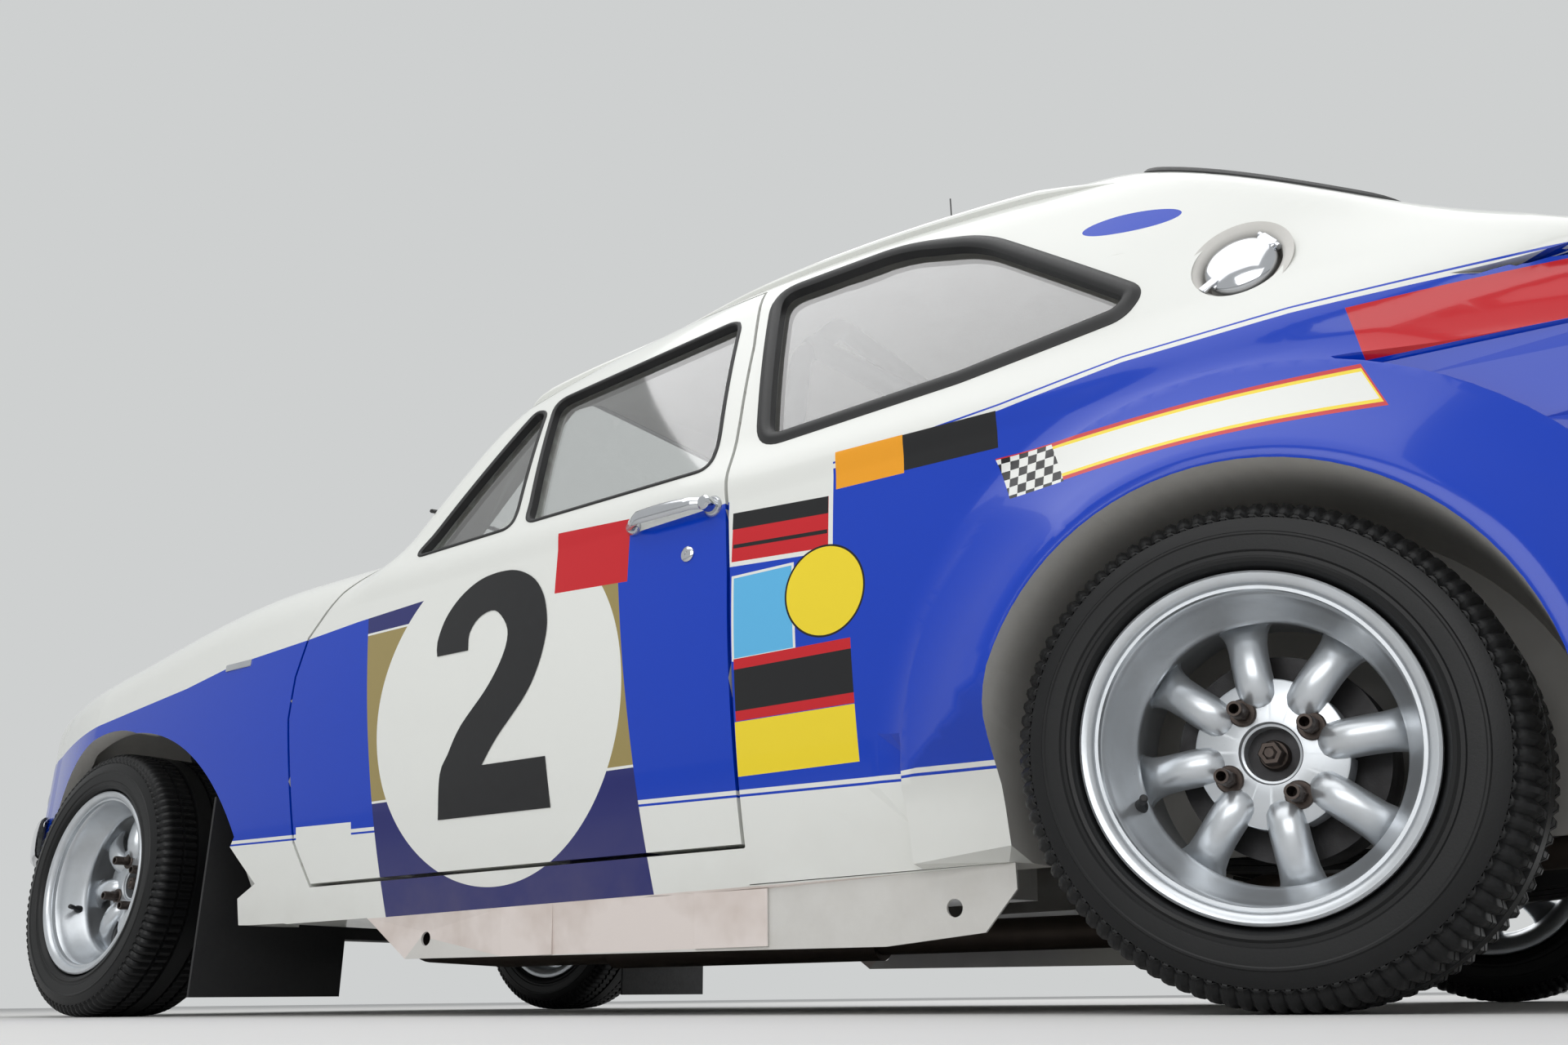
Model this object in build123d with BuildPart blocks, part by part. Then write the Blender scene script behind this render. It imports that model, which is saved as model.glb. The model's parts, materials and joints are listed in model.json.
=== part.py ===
from build123d import *
import math
import os

# A two-door rally saloon of the early seventies, in millimetres.
# X points to the car's left, Y to its tail and Z up, and the tyres stand on Z = 0.

os.makedirs("parts", exist_ok=True)

# Driving dimensions
length = 3980
wheelbase = 2400
rear_overhang = 880
middle = length / 2 - rear_overhang - wheelbase / 2
front_y = -wheelbase / 2
rear_y = wheelbase / 2
wheel_z = 266
roof_wall = 32
seam = 6

# Sizes along the car count from the middle of the wheelbase, and these three planes are drawn from there


def across(y):
    return Plane(origin=(0, middle + y, 0), x_dir=(1, 0, 0), z_dir=(0, -1, 0))


def beside(x):
    return Plane(origin=(x, middle, 0), x_dir=(0, 1, 0), z_dir=(1, 0, 0))


def above(z):
    return Plane(origin=(0, middle, z))


def spot(x, y, z):
    return (x, middle + y, z)


def save(piece, name):
    piece.part.label = name
    export_step(piece.part, f"parts/{name}.step")


# Outer skin of the lower body: y, sill z, sill x, crease x, crease z, shoulder x, shoulder z,
# top edge x, top edge z, crown z
body_sections = [
    (-1950, 230, 650, 700, 470, 690, 500, 600, 520, 545),
    (-1680, 212, 680, 730, 523, 719, 594, 649, 664, 694),
    (-1250, 183, 727, 777, 567, 766, 648, 692, 737, 777),
    (-600, 155, 735, 785, 590, 778, 705, 705, 812, 845),
    (1250, 175, 736, 782, 582, 774, 708, 700, 816, 862),
    (2100, 240, 680, 715, 545, 700, 660, 625, 728, 760),
]

# The skin in plan: half width and y from the middle of the nose or tail to the straight side
nose_half = [(0, -1845), (540, -1800), (630, -1700), (705, -1530), (795, -1270)]
tail_half = [(0, 2035), (620, 2000), (710, 1950), (745, 1860), (800, 1700)]

# The space inside the walls: y, edge z, crown z, and half of its plan
inner_sections = [
    (-1990, 470, 500), (-1680, 625, 660), (-1250, 700, 750), (-600, 772, 818), (1250, 776, 834),
    (2110, 690, 733),
]
inner_plan_half = [
    (440, -1806), (592, -1690), (668, -1520), (745, -1270), (740, 1700), (675, 1925), (585, 2003),
]


def lower_body():
    with BuildPart() as skin:
        for y, sill_z, sill_x, crease_x, crease_z, edge_x, edge_z, top_x, top_z, crown in body_sections:
            side_mid = ((sill_x + crease_x) / 2 + 10, (sill_z + crease_z) / 2)
            turn_mid = ((edge_x + top_x) / 2 + 0.2 * (top_z - edge_z),
                        (edge_z + top_z) / 2 + 0.2 * (edge_x - top_x))
            with BuildSketch(across(y)):
                with BuildLine():
                    Line((-sill_x, sill_z), (sill_x, sill_z))
                    for flip in (1, -1):
                        ThreePointArc((flip * sill_x, sill_z), (flip * side_mid[0], side_mid[1]),
                                      (flip * crease_x, crease_z))
                        Line((flip * crease_x, crease_z), (flip * edge_x, edge_z))
                        ThreePointArc((flip * edge_x, edge_z), (flip * turn_mid[0], turn_mid[1]),
                                      (flip * top_x, top_z))
                    ThreePointArc((top_x, top_z), (0, crown), (-top_x, top_z))
                make_face()
        loft(ruled=True)
        with BuildSketch(above(100)):
            with BuildLine():
                for tip, turn, corner, flank, straight in (nose_half, tail_half):
                    for flip in (1, -1):
                        ThreePointArc((flip * turn[0], turn[1]), (flip * corner[0], corner[1]),
                                      (flip * flank[0], flank[1]))
                        Line((flip * flank[0], flank[1]), (flip * straight[0], straight[1]))
                    ThreePointArc((-turn[0], turn[1]), tip, turn)
                for flip in (1, -1):
                    Line((flip * nose_half[4][0], nose_half[4][1]), (flip * tail_half[4][0], tail_half[4][1]))
            make_face()
        extrude(amount=900, mode=Mode.INTERSECT)
    return skin


# Cabin sides lean in along one large arc, and the roof is an arc turned about an axis across the car
tumble_radius = 2270
tumble_x = -1442
tumble_z = 209
belt_z = 760
crown_y = 560
crown_z = 1320
crown_radius = 3200
camber_radius = 1561

screen_foot = (-385, 770)
screen_slope = math.radians(51.3)
screen_bow = 80
screen_half = 650
back_foot = (1470, 909)
back_slope = math.radians(34.8)
back_bow = 25
back_half = 580


def tumble(z, depth=0):
    return tumble_x + math.sqrt((tumble_radius - depth) ** 2 - (z - tumble_z) ** 2)


# Planes in the windscreen and the rear window: their own y runs up the glass and their z out of the car
screen_plane = Plane(
    origin=spot(0, *screen_foot), x_dir=(1, 0, 0), z_dir=(0, -math.sin(screen_slope), math.cos(screen_slope))
)
back_plane = Plane(
    origin=spot(0, *back_foot), x_dir=(-1, 0, 0), z_dir=(0, math.sin(back_slope), math.cos(back_slope))
)


def keep_behind(plane, bow, half, depth):
    """All that lies inside a bowed window's surface, set in by a depth, as a face across the window."""
    up = Plane(origin=plane.origin - plane.z_dir * depth, x_dir=plane.x_dir, z_dir=plane.y_dir)
    radius = (half ** 2 + bow ** 2) / (2 * bow)
    reach = 900
    drop = radius - math.sqrt(radius ** 2 - reach ** 2) - bow
    with BuildSketch(up) as sketch:
        with BuildLine():
            ThreePointArc((-reach, drop), (0, -bow), (reach, drop))
            Polyline((reach, drop), (reach, 2400), (-reach, 2400), (-reach, drop))
        make_face()
    return sketch.sketch


def greenhouse(depth):
    with BuildPart() as cabin:
        with BuildSketch(across(-700)):
            with BuildLine():
                top = 1400
                middle_z = (belt_z + top) / 2
                Line((-tumble(belt_z, depth), belt_z), (tumble(belt_z, depth), belt_z))
                for flip in (1, -1):
                    ThreePointArc((flip * tumble(belt_z, depth), belt_z),
                                  (flip * tumble(middle_z, depth), middle_z),
                                  (flip * tumble(top, depth), top))
                Line((-tumble(top, depth), top), (tumble(top, depth), top))
            make_face()
        extrude(amount=-2450)
        with BuildSketch(across(crown_y)):
            camber = camber_radius - depth
            edge_z = crown_z - depth - camber + math.sqrt(camber ** 2 - 900 ** 2)
            with BuildLine():
                ThreePointArc((-900, edge_z), (0, crown_z - depth), (900, edge_z))
                Polyline((900, edge_z), (900, 200), (-900, 200), (-900, edge_z))
            make_face()
        revolve(axis=Axis(spot(0, crown_y, crown_z - crown_radius), (1, 0, 0)), mode=Mode.INTERSECT)
        for plane, bow, half in ((screen_plane, screen_bow, screen_half), (back_plane, back_bow, back_half)):
            extrude(keep_behind(plane, bow, half, depth), amount=1500, both=True, mode=Mode.INTERSECT)
    return cabin


with BuildPart() as outer:
    add(lower_body().part)
    add(greenhouse(0).part)

with BuildPart() as inner_low:
    for y, edge_z, crown in inner_sections:
        with BuildSketch(across(y)):
            with BuildLine():
                Line((-690, 178), (690, 178))
                for flip in (1, -1):
                    Polyline((flip * 690, 178), (flip * 728, 320), (flip * 728, edge_z - 65),
                             (flip * 680, edge_z))
                ThreePointArc((680, edge_z), (0, crown), (-680, edge_z))
            make_face()
    loft(ruled=True)
    with BuildSketch(above(100)):
        with BuildLine():
            Polyline(*inner_plan_half, *[(-x, y) for x, y in reversed(inner_plan_half)], close=True)
        make_face()
    extrude(amount=900, mode=Mode.INTERSECT)

with BuildPart() as inner:
    add(inner_low.part)
    add(greenhouse(roof_wall).part)


def box_between(x_range, y_range, z_range, mode=Mode.INTERSECT):
    """A block between two sizes each way, with y from the middle of the wheelbase."""
    centre = spot(sum(x_range) / 2, sum(y_range) / 2, sum(z_range) / 2)
    with Locations(centre):
        Box(x_range[1] - x_range[0], y_range[1] - y_range[0], z_range[1] - z_range[0], mode=mode)


# Wheel arches, seen from the side
rear_arch_radius = 305


def front_arch_face(front, back):
    """The front opening, grown to the front and top, and to the back."""
    with BuildSketch(beside(0)) as sketch:
        with BuildLine():
            Line((-1512 - front, 60), (-690 + back, 60))
            Line((-690 + back, 60), (-690 + back, 300))
            ThreePointArc((-690 + back, 300), (-840 + back * 0.7, 470 + front * 0.7), (-1090, 560 + front))
            ThreePointArc((-1090, 560 + front), (-1412 - front * 0.7, 486 + front * 0.7), (-1512 - front, 270))
            Line((-1512 - front, 270), (-1512 - front, 60))
        make_face()
    return sketch.sketch


def rear_arch_face(grow):
    with BuildSketch(beside(0)) as sketch:
        with Locations((rear_y, wheel_z)):
            Circle(rear_arch_radius + grow)
        with Locations((rear_y, wheel_z / 2)):
            Rectangle(2 * (rear_arch_radius + grow), wheel_z)
    return sketch.sketch


with BuildPart() as flare:
    with BuildSketch(Plane(origin=spot(0, rear_y, wheel_z), x_dir=(1, 0, 0), z_dir=(0, -1, 0))):
        with BuildLine():
            Line((700, 300), (840, 300))
            Line((840, 300), (846, 312))
            ThreePointArc((846, 312), (822, 350), (776, 440))
            Line((776, 440), (700, 440))
            Line((700, 440), (700, 300))
        make_face()
    revolve(axis=Axis(spot(0, rear_y, wheel_z), (1, 0, 0)))
    box_between((600, 900), (rear_y - 500, rear_y + 500), (-400, wheel_z), Mode.SUBTRACT)
    for side, low in ((-1, 171), (1, 200)):
        with BuildSketch(above(low)):
            edge = [(700, 300), (840, 300), (846, 312), (822, 350), (776, 440), (700, 440)]
            with BuildLine():
                Polyline(*[(x, rear_y + side * r) for x, r in edge], close=True)
            make_face()
        extrude(amount=wheel_z - low)

# Window openings: corners in the plane of each window, and the radius of its corners
screen_opening = [(-600, 75), (600, 75), (520, 490), (-520, 490)]
back_opening = [(-560, 40), (560, 40), (490, 430), (-490, 430)]
quarterlight = [(-252, 780), (-58, 1060), (-26, 1048), (0, 785)]
door_pane = [(30, 785), (-12, 1068), (408, 1112), (436, 842), (432, 787)]
quarter_pane = [(524, 806), (470, 1148), (720, 1146), (868, 1092), (1114, 878), (1092, 846), (860, 820)]
screen_corner = 60
pane_corners = {"quarterlight": 10, "door": 18, "quarter": 22}


def pane_face(plane, corners, radius, grow=0):
    with BuildSketch(plane) as sketch:
        with BuildLine():
            Polyline(*corners, close=True)
        make_face()
        fillet(sketch.vertices(), radius)
        if grow:
            offset(amount=grow)
    return sketch.sketch


def both_sides(face, start, depth, mode=Mode.ADD):
    """Left and right prisms of a side view outline, from x = start outwards."""
    for x in (start, -start - depth):
        extrude(face.moved(Location((x, 0, 0))), amount=depth, mode=mode)


# Openings in the nose and tail: grille, round headlamps and oblong rear lamps
grille_half = 434
grille_low, grille_high = 445, 560
rear_lamp_x = (505, 655)
rear_lamp_z = (530, 615)
lamp_x = 520
lamp_z = 505
lamp_radius = 76

# Filler recess on the left rear pillar: its centre, and the plane of the body skin there
filler_spot = (716, 1243, 877)
filler_plane = Plane(origin=spot(*filler_spot), x_dir=(0, 1, 0), z_dir=(math.cos(0.31), 0, math.sin(0.31)))

# The left half of the hollow body, whose pieces are mirrored once they are cut out
with BuildPart() as shell:
    add(outer.part)
    add(flare.part)
    box_between((0, 900), (-2100, 2200), (0, 1500))
    add(inner.part, mode=Mode.SUBTRACT)
    extrude(pane_face(screen_plane, screen_opening, screen_corner), amount=200, both=True, mode=Mode.SUBTRACT)
    extrude(pane_face(back_plane, back_opening, screen_corner), amount=200, both=True, mode=Mode.SUBTRACT)
    for corners, name in ((quarterlight, "quarterlight"), (door_pane, "door"), (quarter_pane, "quarter")):
        extrude(pane_face(beside(400), corners, pane_corners[name]), amount=500, mode=Mode.SUBTRACT)
    extrude(front_arch_face(0, 0).moved(Location((430, 0, 0))), amount=500, mode=Mode.SUBTRACT)
    extrude(rear_arch_face(0).moved(Location((540, 0, 0))), amount=400, mode=Mode.SUBTRACT)
    box_between((-640, 640), (-1790, -641), (80, 300), Mode.SUBTRACT)
    box_between((-640, 640), (640, 1960), (80, 260), Mode.SUBTRACT)
    box_between((-grille_half, grille_half), (-1900, -1700), (grille_low, grille_high), Mode.SUBTRACT)
    box_between(rear_lamp_x, (1950, 2100), rear_lamp_z, Mode.SUBTRACT)
    with BuildSketch(Plane(origin=spot(lamp_x, -1700, lamp_z), x_dir=(1, 0, 0), z_dir=(0, -1, 0))):
        Circle(lamp_radius)
    extrude(amount=200, mode=Mode.SUBTRACT)

# Doors, bonnet and boot lid: their outlines
door_outline = [
    (-470, 217), (-516, 294), (-552, 520), (-546, 600), (-522, 672), (-440, 752), (-345, 812), (-228, 1005),
    (-140, 1075), (57, 1158), (250, 1190), (430, 1182), (457, 1029), (470, 870), (484, 600), (489, 217),
]
bonnet_outline = [
    (-480, -1770), (480, -1770), (560, -1700), (600, -1500), (600, -600), (-600, -600), (-600, -1500),
    (-560, -1700),
]
lid_outline = [(-560, 1645), (560, 1645), (545, 2200), (-545, 2200)]


def door_face(grow):
    with BuildSketch(beside(0)) as sketch:
        with BuildLine():
            Polyline(*door_outline, close=True)
        make_face()
        fillet(sketch.vertices().sort_by(Axis.Y)[-2:], 8)
        offset(amount=grow)
    return sketch.sketch


def plan_face(corners, height, grow):
    with BuildSketch(above(height)) as sketch:
        with BuildLine():
            Polyline(*corners, close=True)
        make_face()
        offset(amount=grow)
    return sketch.sketch


with BuildPart() as door_left:
    add(shell.part)
    extrude(door_face(-seam / 2).moved(Location((480, 0, 0))), amount=420, mode=Mode.INTERSECT)

with BuildPart() as bonnet:
    add(shell.part)
    extrude(plan_face(bonnet_outline, 560, -seam / 2), amount=400, mode=Mode.INTERSECT)
    mirror(about=Plane.YZ)

with BuildPart() as boot_lid:
    add(shell.part)
    extrude(plan_face(lid_outline, 640 + seam / 2, -seam / 2), amount=400, mode=Mode.INTERSECT)
    mirror(about=Plane.YZ)

with BuildPart() as body:
    add(shell.part)
    extrude(door_face(seam / 2).moved(Location((480, 0, 0))), amount=420, mode=Mode.SUBTRACT)
    extrude(plan_face(bonnet_outline, 560, seam / 2), amount=400, mode=Mode.SUBTRACT)
    extrude(plan_face(lid_outline, 640 - seam / 2, seam / 2), amount=400, mode=Mode.SUBTRACT)

# Floor: flat under the cabin with a tunnel, then raised over the axle and under the boot. Each sill has a
# flange below it with round holes and doubling plates
floor_plan = [
    (-900, -641), (900, -641), (900, 492), (700, 492), (700, 640), (-700, 640), (-700, 492), (-900, 492),
]
flange_side = [
    (-330, 166), (-218, 88), (700, 80), (840, 92), (885, 140), (885, 170.8), (492, 166.6), (492, 178),
    (-330, 178),
]
flange_holes = [(-170, 118), (800, 122)]
flange_tabs = [(10, 120), (395, 520)]
tunnel_half = 140
tunnel_top = 400
rear_floor_line = [(634, 152), (634, 330), (960, 330), (1010, 430), (1390, 430), (1440, 330), (2010, 330)]
boot_start = 1448
panel = 12


def tunnel_face(grow, y):
    with BuildSketch(across(y)) as sketch:
        with BuildLine():
            half = tunnel_half + grow
            Line((-half, 100), (half, 100))
            Line((half, 100), (half * 0.8, tunnel_top - 60))
            ThreePointArc((half * 0.8, tunnel_top - 60), (0, tunnel_top + grow), (-half * 0.8, tunnel_top - 60))
            Line((-half * 0.8, tunnel_top - 60), (-half, 100))
        make_face()
    return sketch.sketch


with BuildPart() as floor_inside:
    with BuildSketch(beside(-700)):
        with BuildLine():
            line = Polyline(*rear_floor_line)
            offset(line, amount=panel / 2, side=Side.BOTH, closed=True)
        make_face()
    extrude(amount=1400)
    extrude(tunnel_face(panel, 640), amount=1262)
    add(inner_low.part, mode=Mode.INTERSECT)
    both_sides(rear_arch_face(panel), 528, 400, Mode.SUBTRACT)

with BuildPart() as boot_floor:
    add(floor_inside.part)
    box_between((-900, 900), (boot_start, 2300), (0, 900))

with BuildPart() as floor_pan:
    add(body.part)
    extrude(plan_face(floor_plan, 0, 0), amount=214, mode=Mode.INTERSECT)
    mirror(about=Plane.YZ)
    add(floor_inside.part)
    box_between((-900, 900), (boot_start, 2300), (0, 900), Mode.SUBTRACT)
    extrude(tunnel_face(0, 700), amount=1400, mode=Mode.SUBTRACT)
    for side in (1, -1):
        with BuildSketch(beside(side * 728 - 2)):
            with BuildLine():
                Polyline(*flange_side, close=True)
            make_face()
            with Locations(*flange_holes):
                Circle(11, mode=Mode.SUBTRACT)
        extrude(amount=4)
        for start, end in flange_tabs:
            box_between(sorted((side * 729, side * 734)), (start, end), (86, 160), Mode.ADD)

with BuildPart() as upper:
    add(body.part)
    extrude(plan_face(floor_plan, 0, 0), amount=214, mode=Mode.SUBTRACT)

with BuildPart() as front_panel:
    add(upper.part)
    box_between((-900, 900), (-2000, -1700), (0, 900))
    mirror(about=Plane.YZ)

with BuildPart() as front_wings:
    add(upper.part)
    box_between((600, 900), (-1700, -330), (0, 806))
    mirror(about=Plane.YZ)

with BuildPart() as scuttle:
    add(upper.part)
    box_between((-600, 600), (-1700, -330), (214, 1000))
    mirror(about=Plane.YZ)

roof_side = [(-700, 806), (430, 806), (430, 1150), (1130, 1150), (1130, 1500), (-700, 1500)]
with BuildPart() as roof_and_pillars:
    add(upper.part)
    with BuildSketch(beside(-900)):
        with BuildLine():
            Polyline(*roof_side, close=True)
        make_face()
    extrude(amount=1800, mode=Mode.INTERSECT)
    box_between((-600, 600), (-800, -330), (0, 1000), Mode.SUBTRACT)
    mirror(about=Plane.YZ)

quarter_side = [(430, 0), (430, 1150), (1130, 1150), (1130, 1500), (2200, 1500), (2200, 0)]
with BuildPart() as rear_quarters:
    add(upper.part)
    with BuildSketch(beside(560)):
        with BuildLine():
            Polyline(*quarter_side, close=True)
        make_face()
    extrude(amount=400, mode=Mode.INTERSECT)
    mirror(about=Plane.YZ)
    with BuildSketch(filler_plane):
        Circle(60)
    extrude(amount=90, both=True, mode=Mode.SUBTRACT)

with BuildPart() as tail_panel:
    add(upper.part)
    box_between((-560, 560), (1300, 2300), (0, 1149))
    mirror(about=Plane.YZ)

# Inner arches: a tub over each wheel, with a tower over each front strut
tower_x = 495
tower_radius = 96
with BuildPart() as inner_arches:
    both_sides(rear_arch_face(panel), 528, 300)
    both_sides(rear_arch_face(0), 540, 300, Mode.SUBTRACT)
    both_sides(front_arch_face(50, 20), 405, 400)
    for side in (1, -1):
        with Locations(spot(side * tower_x, front_y, 655)):
            Cylinder(tower_radius, 130)
    both_sides(front_arch_face(50 - panel, 20 - panel), 417, 400, Mode.SUBTRACT)
    box_between((-900, 900), (-1700, -650), (0, 300), Mode.SUBTRACT)
    with Locations(Plane(origin=spot(0, rear_y, wheel_z), z_dir=(1, 0, 0))):
        Cylinder(75, 1200, mode=Mode.SUBTRACT)
    for side in (1, -1):
        with Locations(spot(side * tower_x, front_y, 640)):
            Cylinder(tower_radius - panel, 130, mode=Mode.SUBTRACT)
    add(inner_low.part, mode=Mode.INTERSECT)

# Bulkhead between engine bay and cabin
with BuildPart() as bulkhead:
    add(inner_low.part)
    box_between((-900, 900), (-640, -622), (178, 900))
    extrude(tunnel_face(panel, -500), amount=300, mode=Mode.SUBTRACT)

# Glass
glass_depth = 12
glass = 5
with BuildPart() as glass_skin:
    add(greenhouse(glass_depth).part)
    add(greenhouse(glass_depth + glass).part, mode=Mode.SUBTRACT)

with BuildPart() as fixed_openings:
    extrude(pane_face(screen_plane, screen_opening, screen_corner), amount=200, both=True)
    extrude(pane_face(back_plane, back_opening, screen_corner), amount=200, both=True)
    extrude(pane_face(beside(0), quarter_pane, pane_corners["quarter"]), amount=1000, both=True)

with BuildPart() as door_openings:
    extrude(pane_face(beside(400), quarterlight, pane_corners["quarterlight"]), amount=500)
    extrude(pane_face(beside(400), door_pane, pane_corners["door"]), amount=500)

with BuildPart() as fixed_glass:
    add(glass_skin.part)
    add(fixed_openings.part, mode=Mode.INTERSECT)

with BuildPart() as door_left_glass:
    add(glass_skin.part)
    add(door_openings.part, mode=Mode.INTERSECT)

# Door handle: a bar on two feet with a round button at its rear
with BuildPart() as door_left_handle:
    with Locations(spot(800, 360, 716)):
        Box(14, 150, 26)
        fillet(door_left_handle.edges().filter_by(Axis.Y), 6)
    for y in (292, 440):
        with Locations(spot(789, y, 716)):
            Box(22, 30, 24)

# Bumpers: a blade round the nose and another round the tail. Low and high edge, y of the middle,
# and three points (x, y) of the left half: where the front turns, its corner and its end
bumper_table = [
    (335, 430, -1891, (555, -1846), (652, -1706), (724, -1540)),
    (400, 490, 2071, (640, 2021), (742, 1960), (790, 1760)),
]
with BuildPart() as bumpers:
    for low, high, tip, edge, corner, end in bumper_table:
        with BuildSketch(above(low)):
            with BuildLine():
                for depth in (0, 18):
                    back = math.copysign(depth, tip)
                    ThreePointArc((-edge[0], edge[1] - back), (0, tip - back), (edge[0], edge[1] - back))
                    for flip in (1, -1):
                        ThreePointArc((flip * edge[0], edge[1] - back),
                                      (flip * (corner[0] - depth * 0.8), corner[1] - back * 0.5),
                                      (flip * (end[0] - depth), end[1]))
                for flip in (1, -1):
                    Line((flip * end[0], end[1]), (flip * (end[0] - 18), end[1]))
            make_face()
        extrude(amount=high - low)
    for x in (-420, 420):
        box_between((x - 25, x + 25), (-1872, -1824), (365, 405), Mode.ADD)
        box_between((x - 25, x + 25), (2021, 2052), (430, 465), Mode.ADD)

# Grille, lamps
with BuildPart() as grille:
    for row in range(5):
        height = 453 + row * 22
        with BuildSketch(above(height)):
            with BuildLine():
                ThreePointArc((-430, -1829), (0, -1850), (430, -1829))
                Line((430, -1829), (430, -1817))
                ThreePointArc((430, -1817), (0, -1838), (-430, -1817))
                Line((-430, -1817), (-430, -1829))
            make_face()
        extrude(amount=8)
    for x in (-428, -215, 0, 215, 428):
        box_between((x - 6, x + 6), (-1846, -1813), (449, 556), Mode.ADD)

with BuildPart() as headlamps:
    for side in (1, -1):
        with BuildSketch(Plane(origin=spot(side * lamp_x, -1752, lamp_z), x_dir=(1, 0, 0), z_dir=(0, -1, 0))):
            Circle(lamp_radius)
        extrude(amount=42)

with BuildPart() as rear_lamps:
    for side in (1, -1):
        box_between(sorted(side * x for x in rear_lamp_x), (1970, 2030), rear_lamp_z, Mode.ADD)

# Engine, gearbox and propeller shaft, radiator
with BuildPart() as engine_block:
    box_between((-190, 190), (-1430, -905), (300, 640), Mode.ADD)
    fillet(engine_block.edges().filter_by(Axis.Y), 40)

with BuildPart() as driveline:
    with BuildSketch(across(-905)):
        with Locations((0, 280)):
            Circle(115)
    with BuildSketch(across(-620)):
        with Locations((0, 275)):
            Circle(85)
    loft()
    with BuildSketch(across(-620)):
        with Locations((0, 275)):
            Circle(75)
    extrude(amount=-420)
    with BuildSketch(across(-200)):
        with Locations((0, 270)):
            Circle(35)
    extrude(amount=-1240)

with BuildPart() as radiator:
    box_between((-240, 240), (-1650, -1600), (300, 620), Mode.ADD)

# Exhaust: a pipe under the left floor with a long silencer
exhaust_path = [
    (200, -880, 240), (235, -760, 128), (235, -500, 112), (235, 900, 112), (300, 1160, 180), (380, 1480, 180),
    (400, 2066, 190),
]
with BuildPart() as exhaust:
    with BuildLine() as run:
        FilletPolyline(*[spot(*p) for p in exhaust_path], radius=60)
    with BuildSketch(Plane(origin=run.line @ 0, z_dir=run.line % 0)):
        Circle(25)
    sweep()
    with Locations(Plane(origin=spot(235, 100, 112), z_dir=(0, 1, 0))):
        Cylinder(34, 600)

# Wheels
tyre_radius = wheel_z
tyre_half = 98
rim_radius = 182
spoke_count = 8
spoke_start = 5
bead_radius = 165
wheel_table = [("front_left", 1, 667, front_y), ("front_right", -1, 667, front_y),
               ("rear_left", 1, 730, rear_y), ("rear_right", -1, 730, rear_y)]


def hub_plane(side, x, y):
    """A plane through the axle, whose x runs out of the car and y runs up."""
    return Plane(origin=spot(side * x, y, wheel_z), x_dir=(side, 0, 0), z_dir=(0, -side, 0))


def make_tyre(side, x, y):
    with BuildPart() as tyre:
        with BuildSketch(hub_plane(side, x, y)):
            with BuildLine():
                half = [
                    (86, bead_radius + 1), (86, 184), (97, 198), (tyre_half, 222), (90, 250), (76, 263),
                    (40, tyre_radius),
                ]
                Polyline(*half, *[(-a, r) for a, r in reversed(half)], close=True)
            make_face()
        revolve(axis=Axis(spot(side * x, y, wheel_z), (1, 0, 0)))
    return tyre


def make_rim(side, x, y):
    with BuildPart() as rim:
        with BuildSketch(hub_plane(side, x, y)):
            with BuildLine():
                Polyline((-87, rim_radius), (-87, bead_radius), (-60, bead_radius), (-45, 150), (50, 150),
                         (64, bead_radius), (87, bead_radius), (87, rim_radius), (92, rim_radius), (92, 160),
                         (66, 158), (56, 144), (-48, 144), (-66, 158), (-92, 160), (-92, rim_radius), close=True)
            make_face()
        revolve(axis=Axis(spot(side * x, y, wheel_z), (1, 0, 0)))
        with BuildSketch(Plane(origin=spot(side * (x + 12), y, wheel_z), z_dir=(side, 0, 0))):
            Circle(70)
            Circle(30, mode=Mode.SUBTRACT)
        extrude(amount=-29)
        for step in range(spoke_count):
            turn = math.radians(spoke_start + 360 / spoke_count * step)
            out = Vector(0, math.cos(turn), math.sin(turn))
            root = Vector(*spot(side * x, y, wheel_z)) + out * 56
            with BuildSketch(Plane(origin=root, x_dir=(1, 0, 0), z_dir=out)):
                Circle(13)
            extrude(amount=90, taper=-2.5)
    return rim


def make_brake(side, x, y, radius, depth):
    with BuildPart() as brake:
        with BuildSketch(Plane(origin=spot(side * (x - 17), y, wheel_z), z_dir=(side, 0, 0))):
            Circle(62)
        extrude(amount=-20)
        with BuildSketch(Plane(origin=spot(side * (x - 37), y, wheel_z), z_dir=(side, 0, 0))):
            Circle(radius)
        extrude(amount=-depth)
    return brake


for name, side, x, y in wheel_table:
    save(make_tyre(side, x, y), f"tyre_{name}")
    save(make_rim(side, x, y), f"rim_{name}")
    front = y == front_y
    save(make_brake(side, x, y, 122 if front else 115, 12 if front else 60), f"brake_{name}")

# Front strut and hub carrier, which turn about the line from the ball joint to the top of the strut
ball_joint = (588, front_y, 190)
strut_top = (480, front_y, 690)
strut_dir = Vector(strut_top[0] - ball_joint[0], 0, strut_top[2] - ball_joint[2]).normalized()
with BuildPart() as knuckle_left:
    with BuildSketch(Plane(origin=spot(*ball_joint), z_dir=strut_dir)):
        Circle(24)
    extrude(amount=500)
    with BuildSketch(Plane(origin=Vector(*spot(*ball_joint)) + strut_dir * 330, z_dir=strut_dir)):
        Circle(60)
    extrude(amount=8)
    with BuildSketch(Plane(origin=spot(577, front_y, wheel_z), z_dir=(1, 0, 0))):
        Circle(42)
    extrude(amount=36)
    box_between((560, 612), (front_y + 40, front_y + 118), (205, 325), Mode.ADD)
    box_between((560, 590), (front_y, front_y + 60), (235, 300), Mode.ADD)

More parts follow.
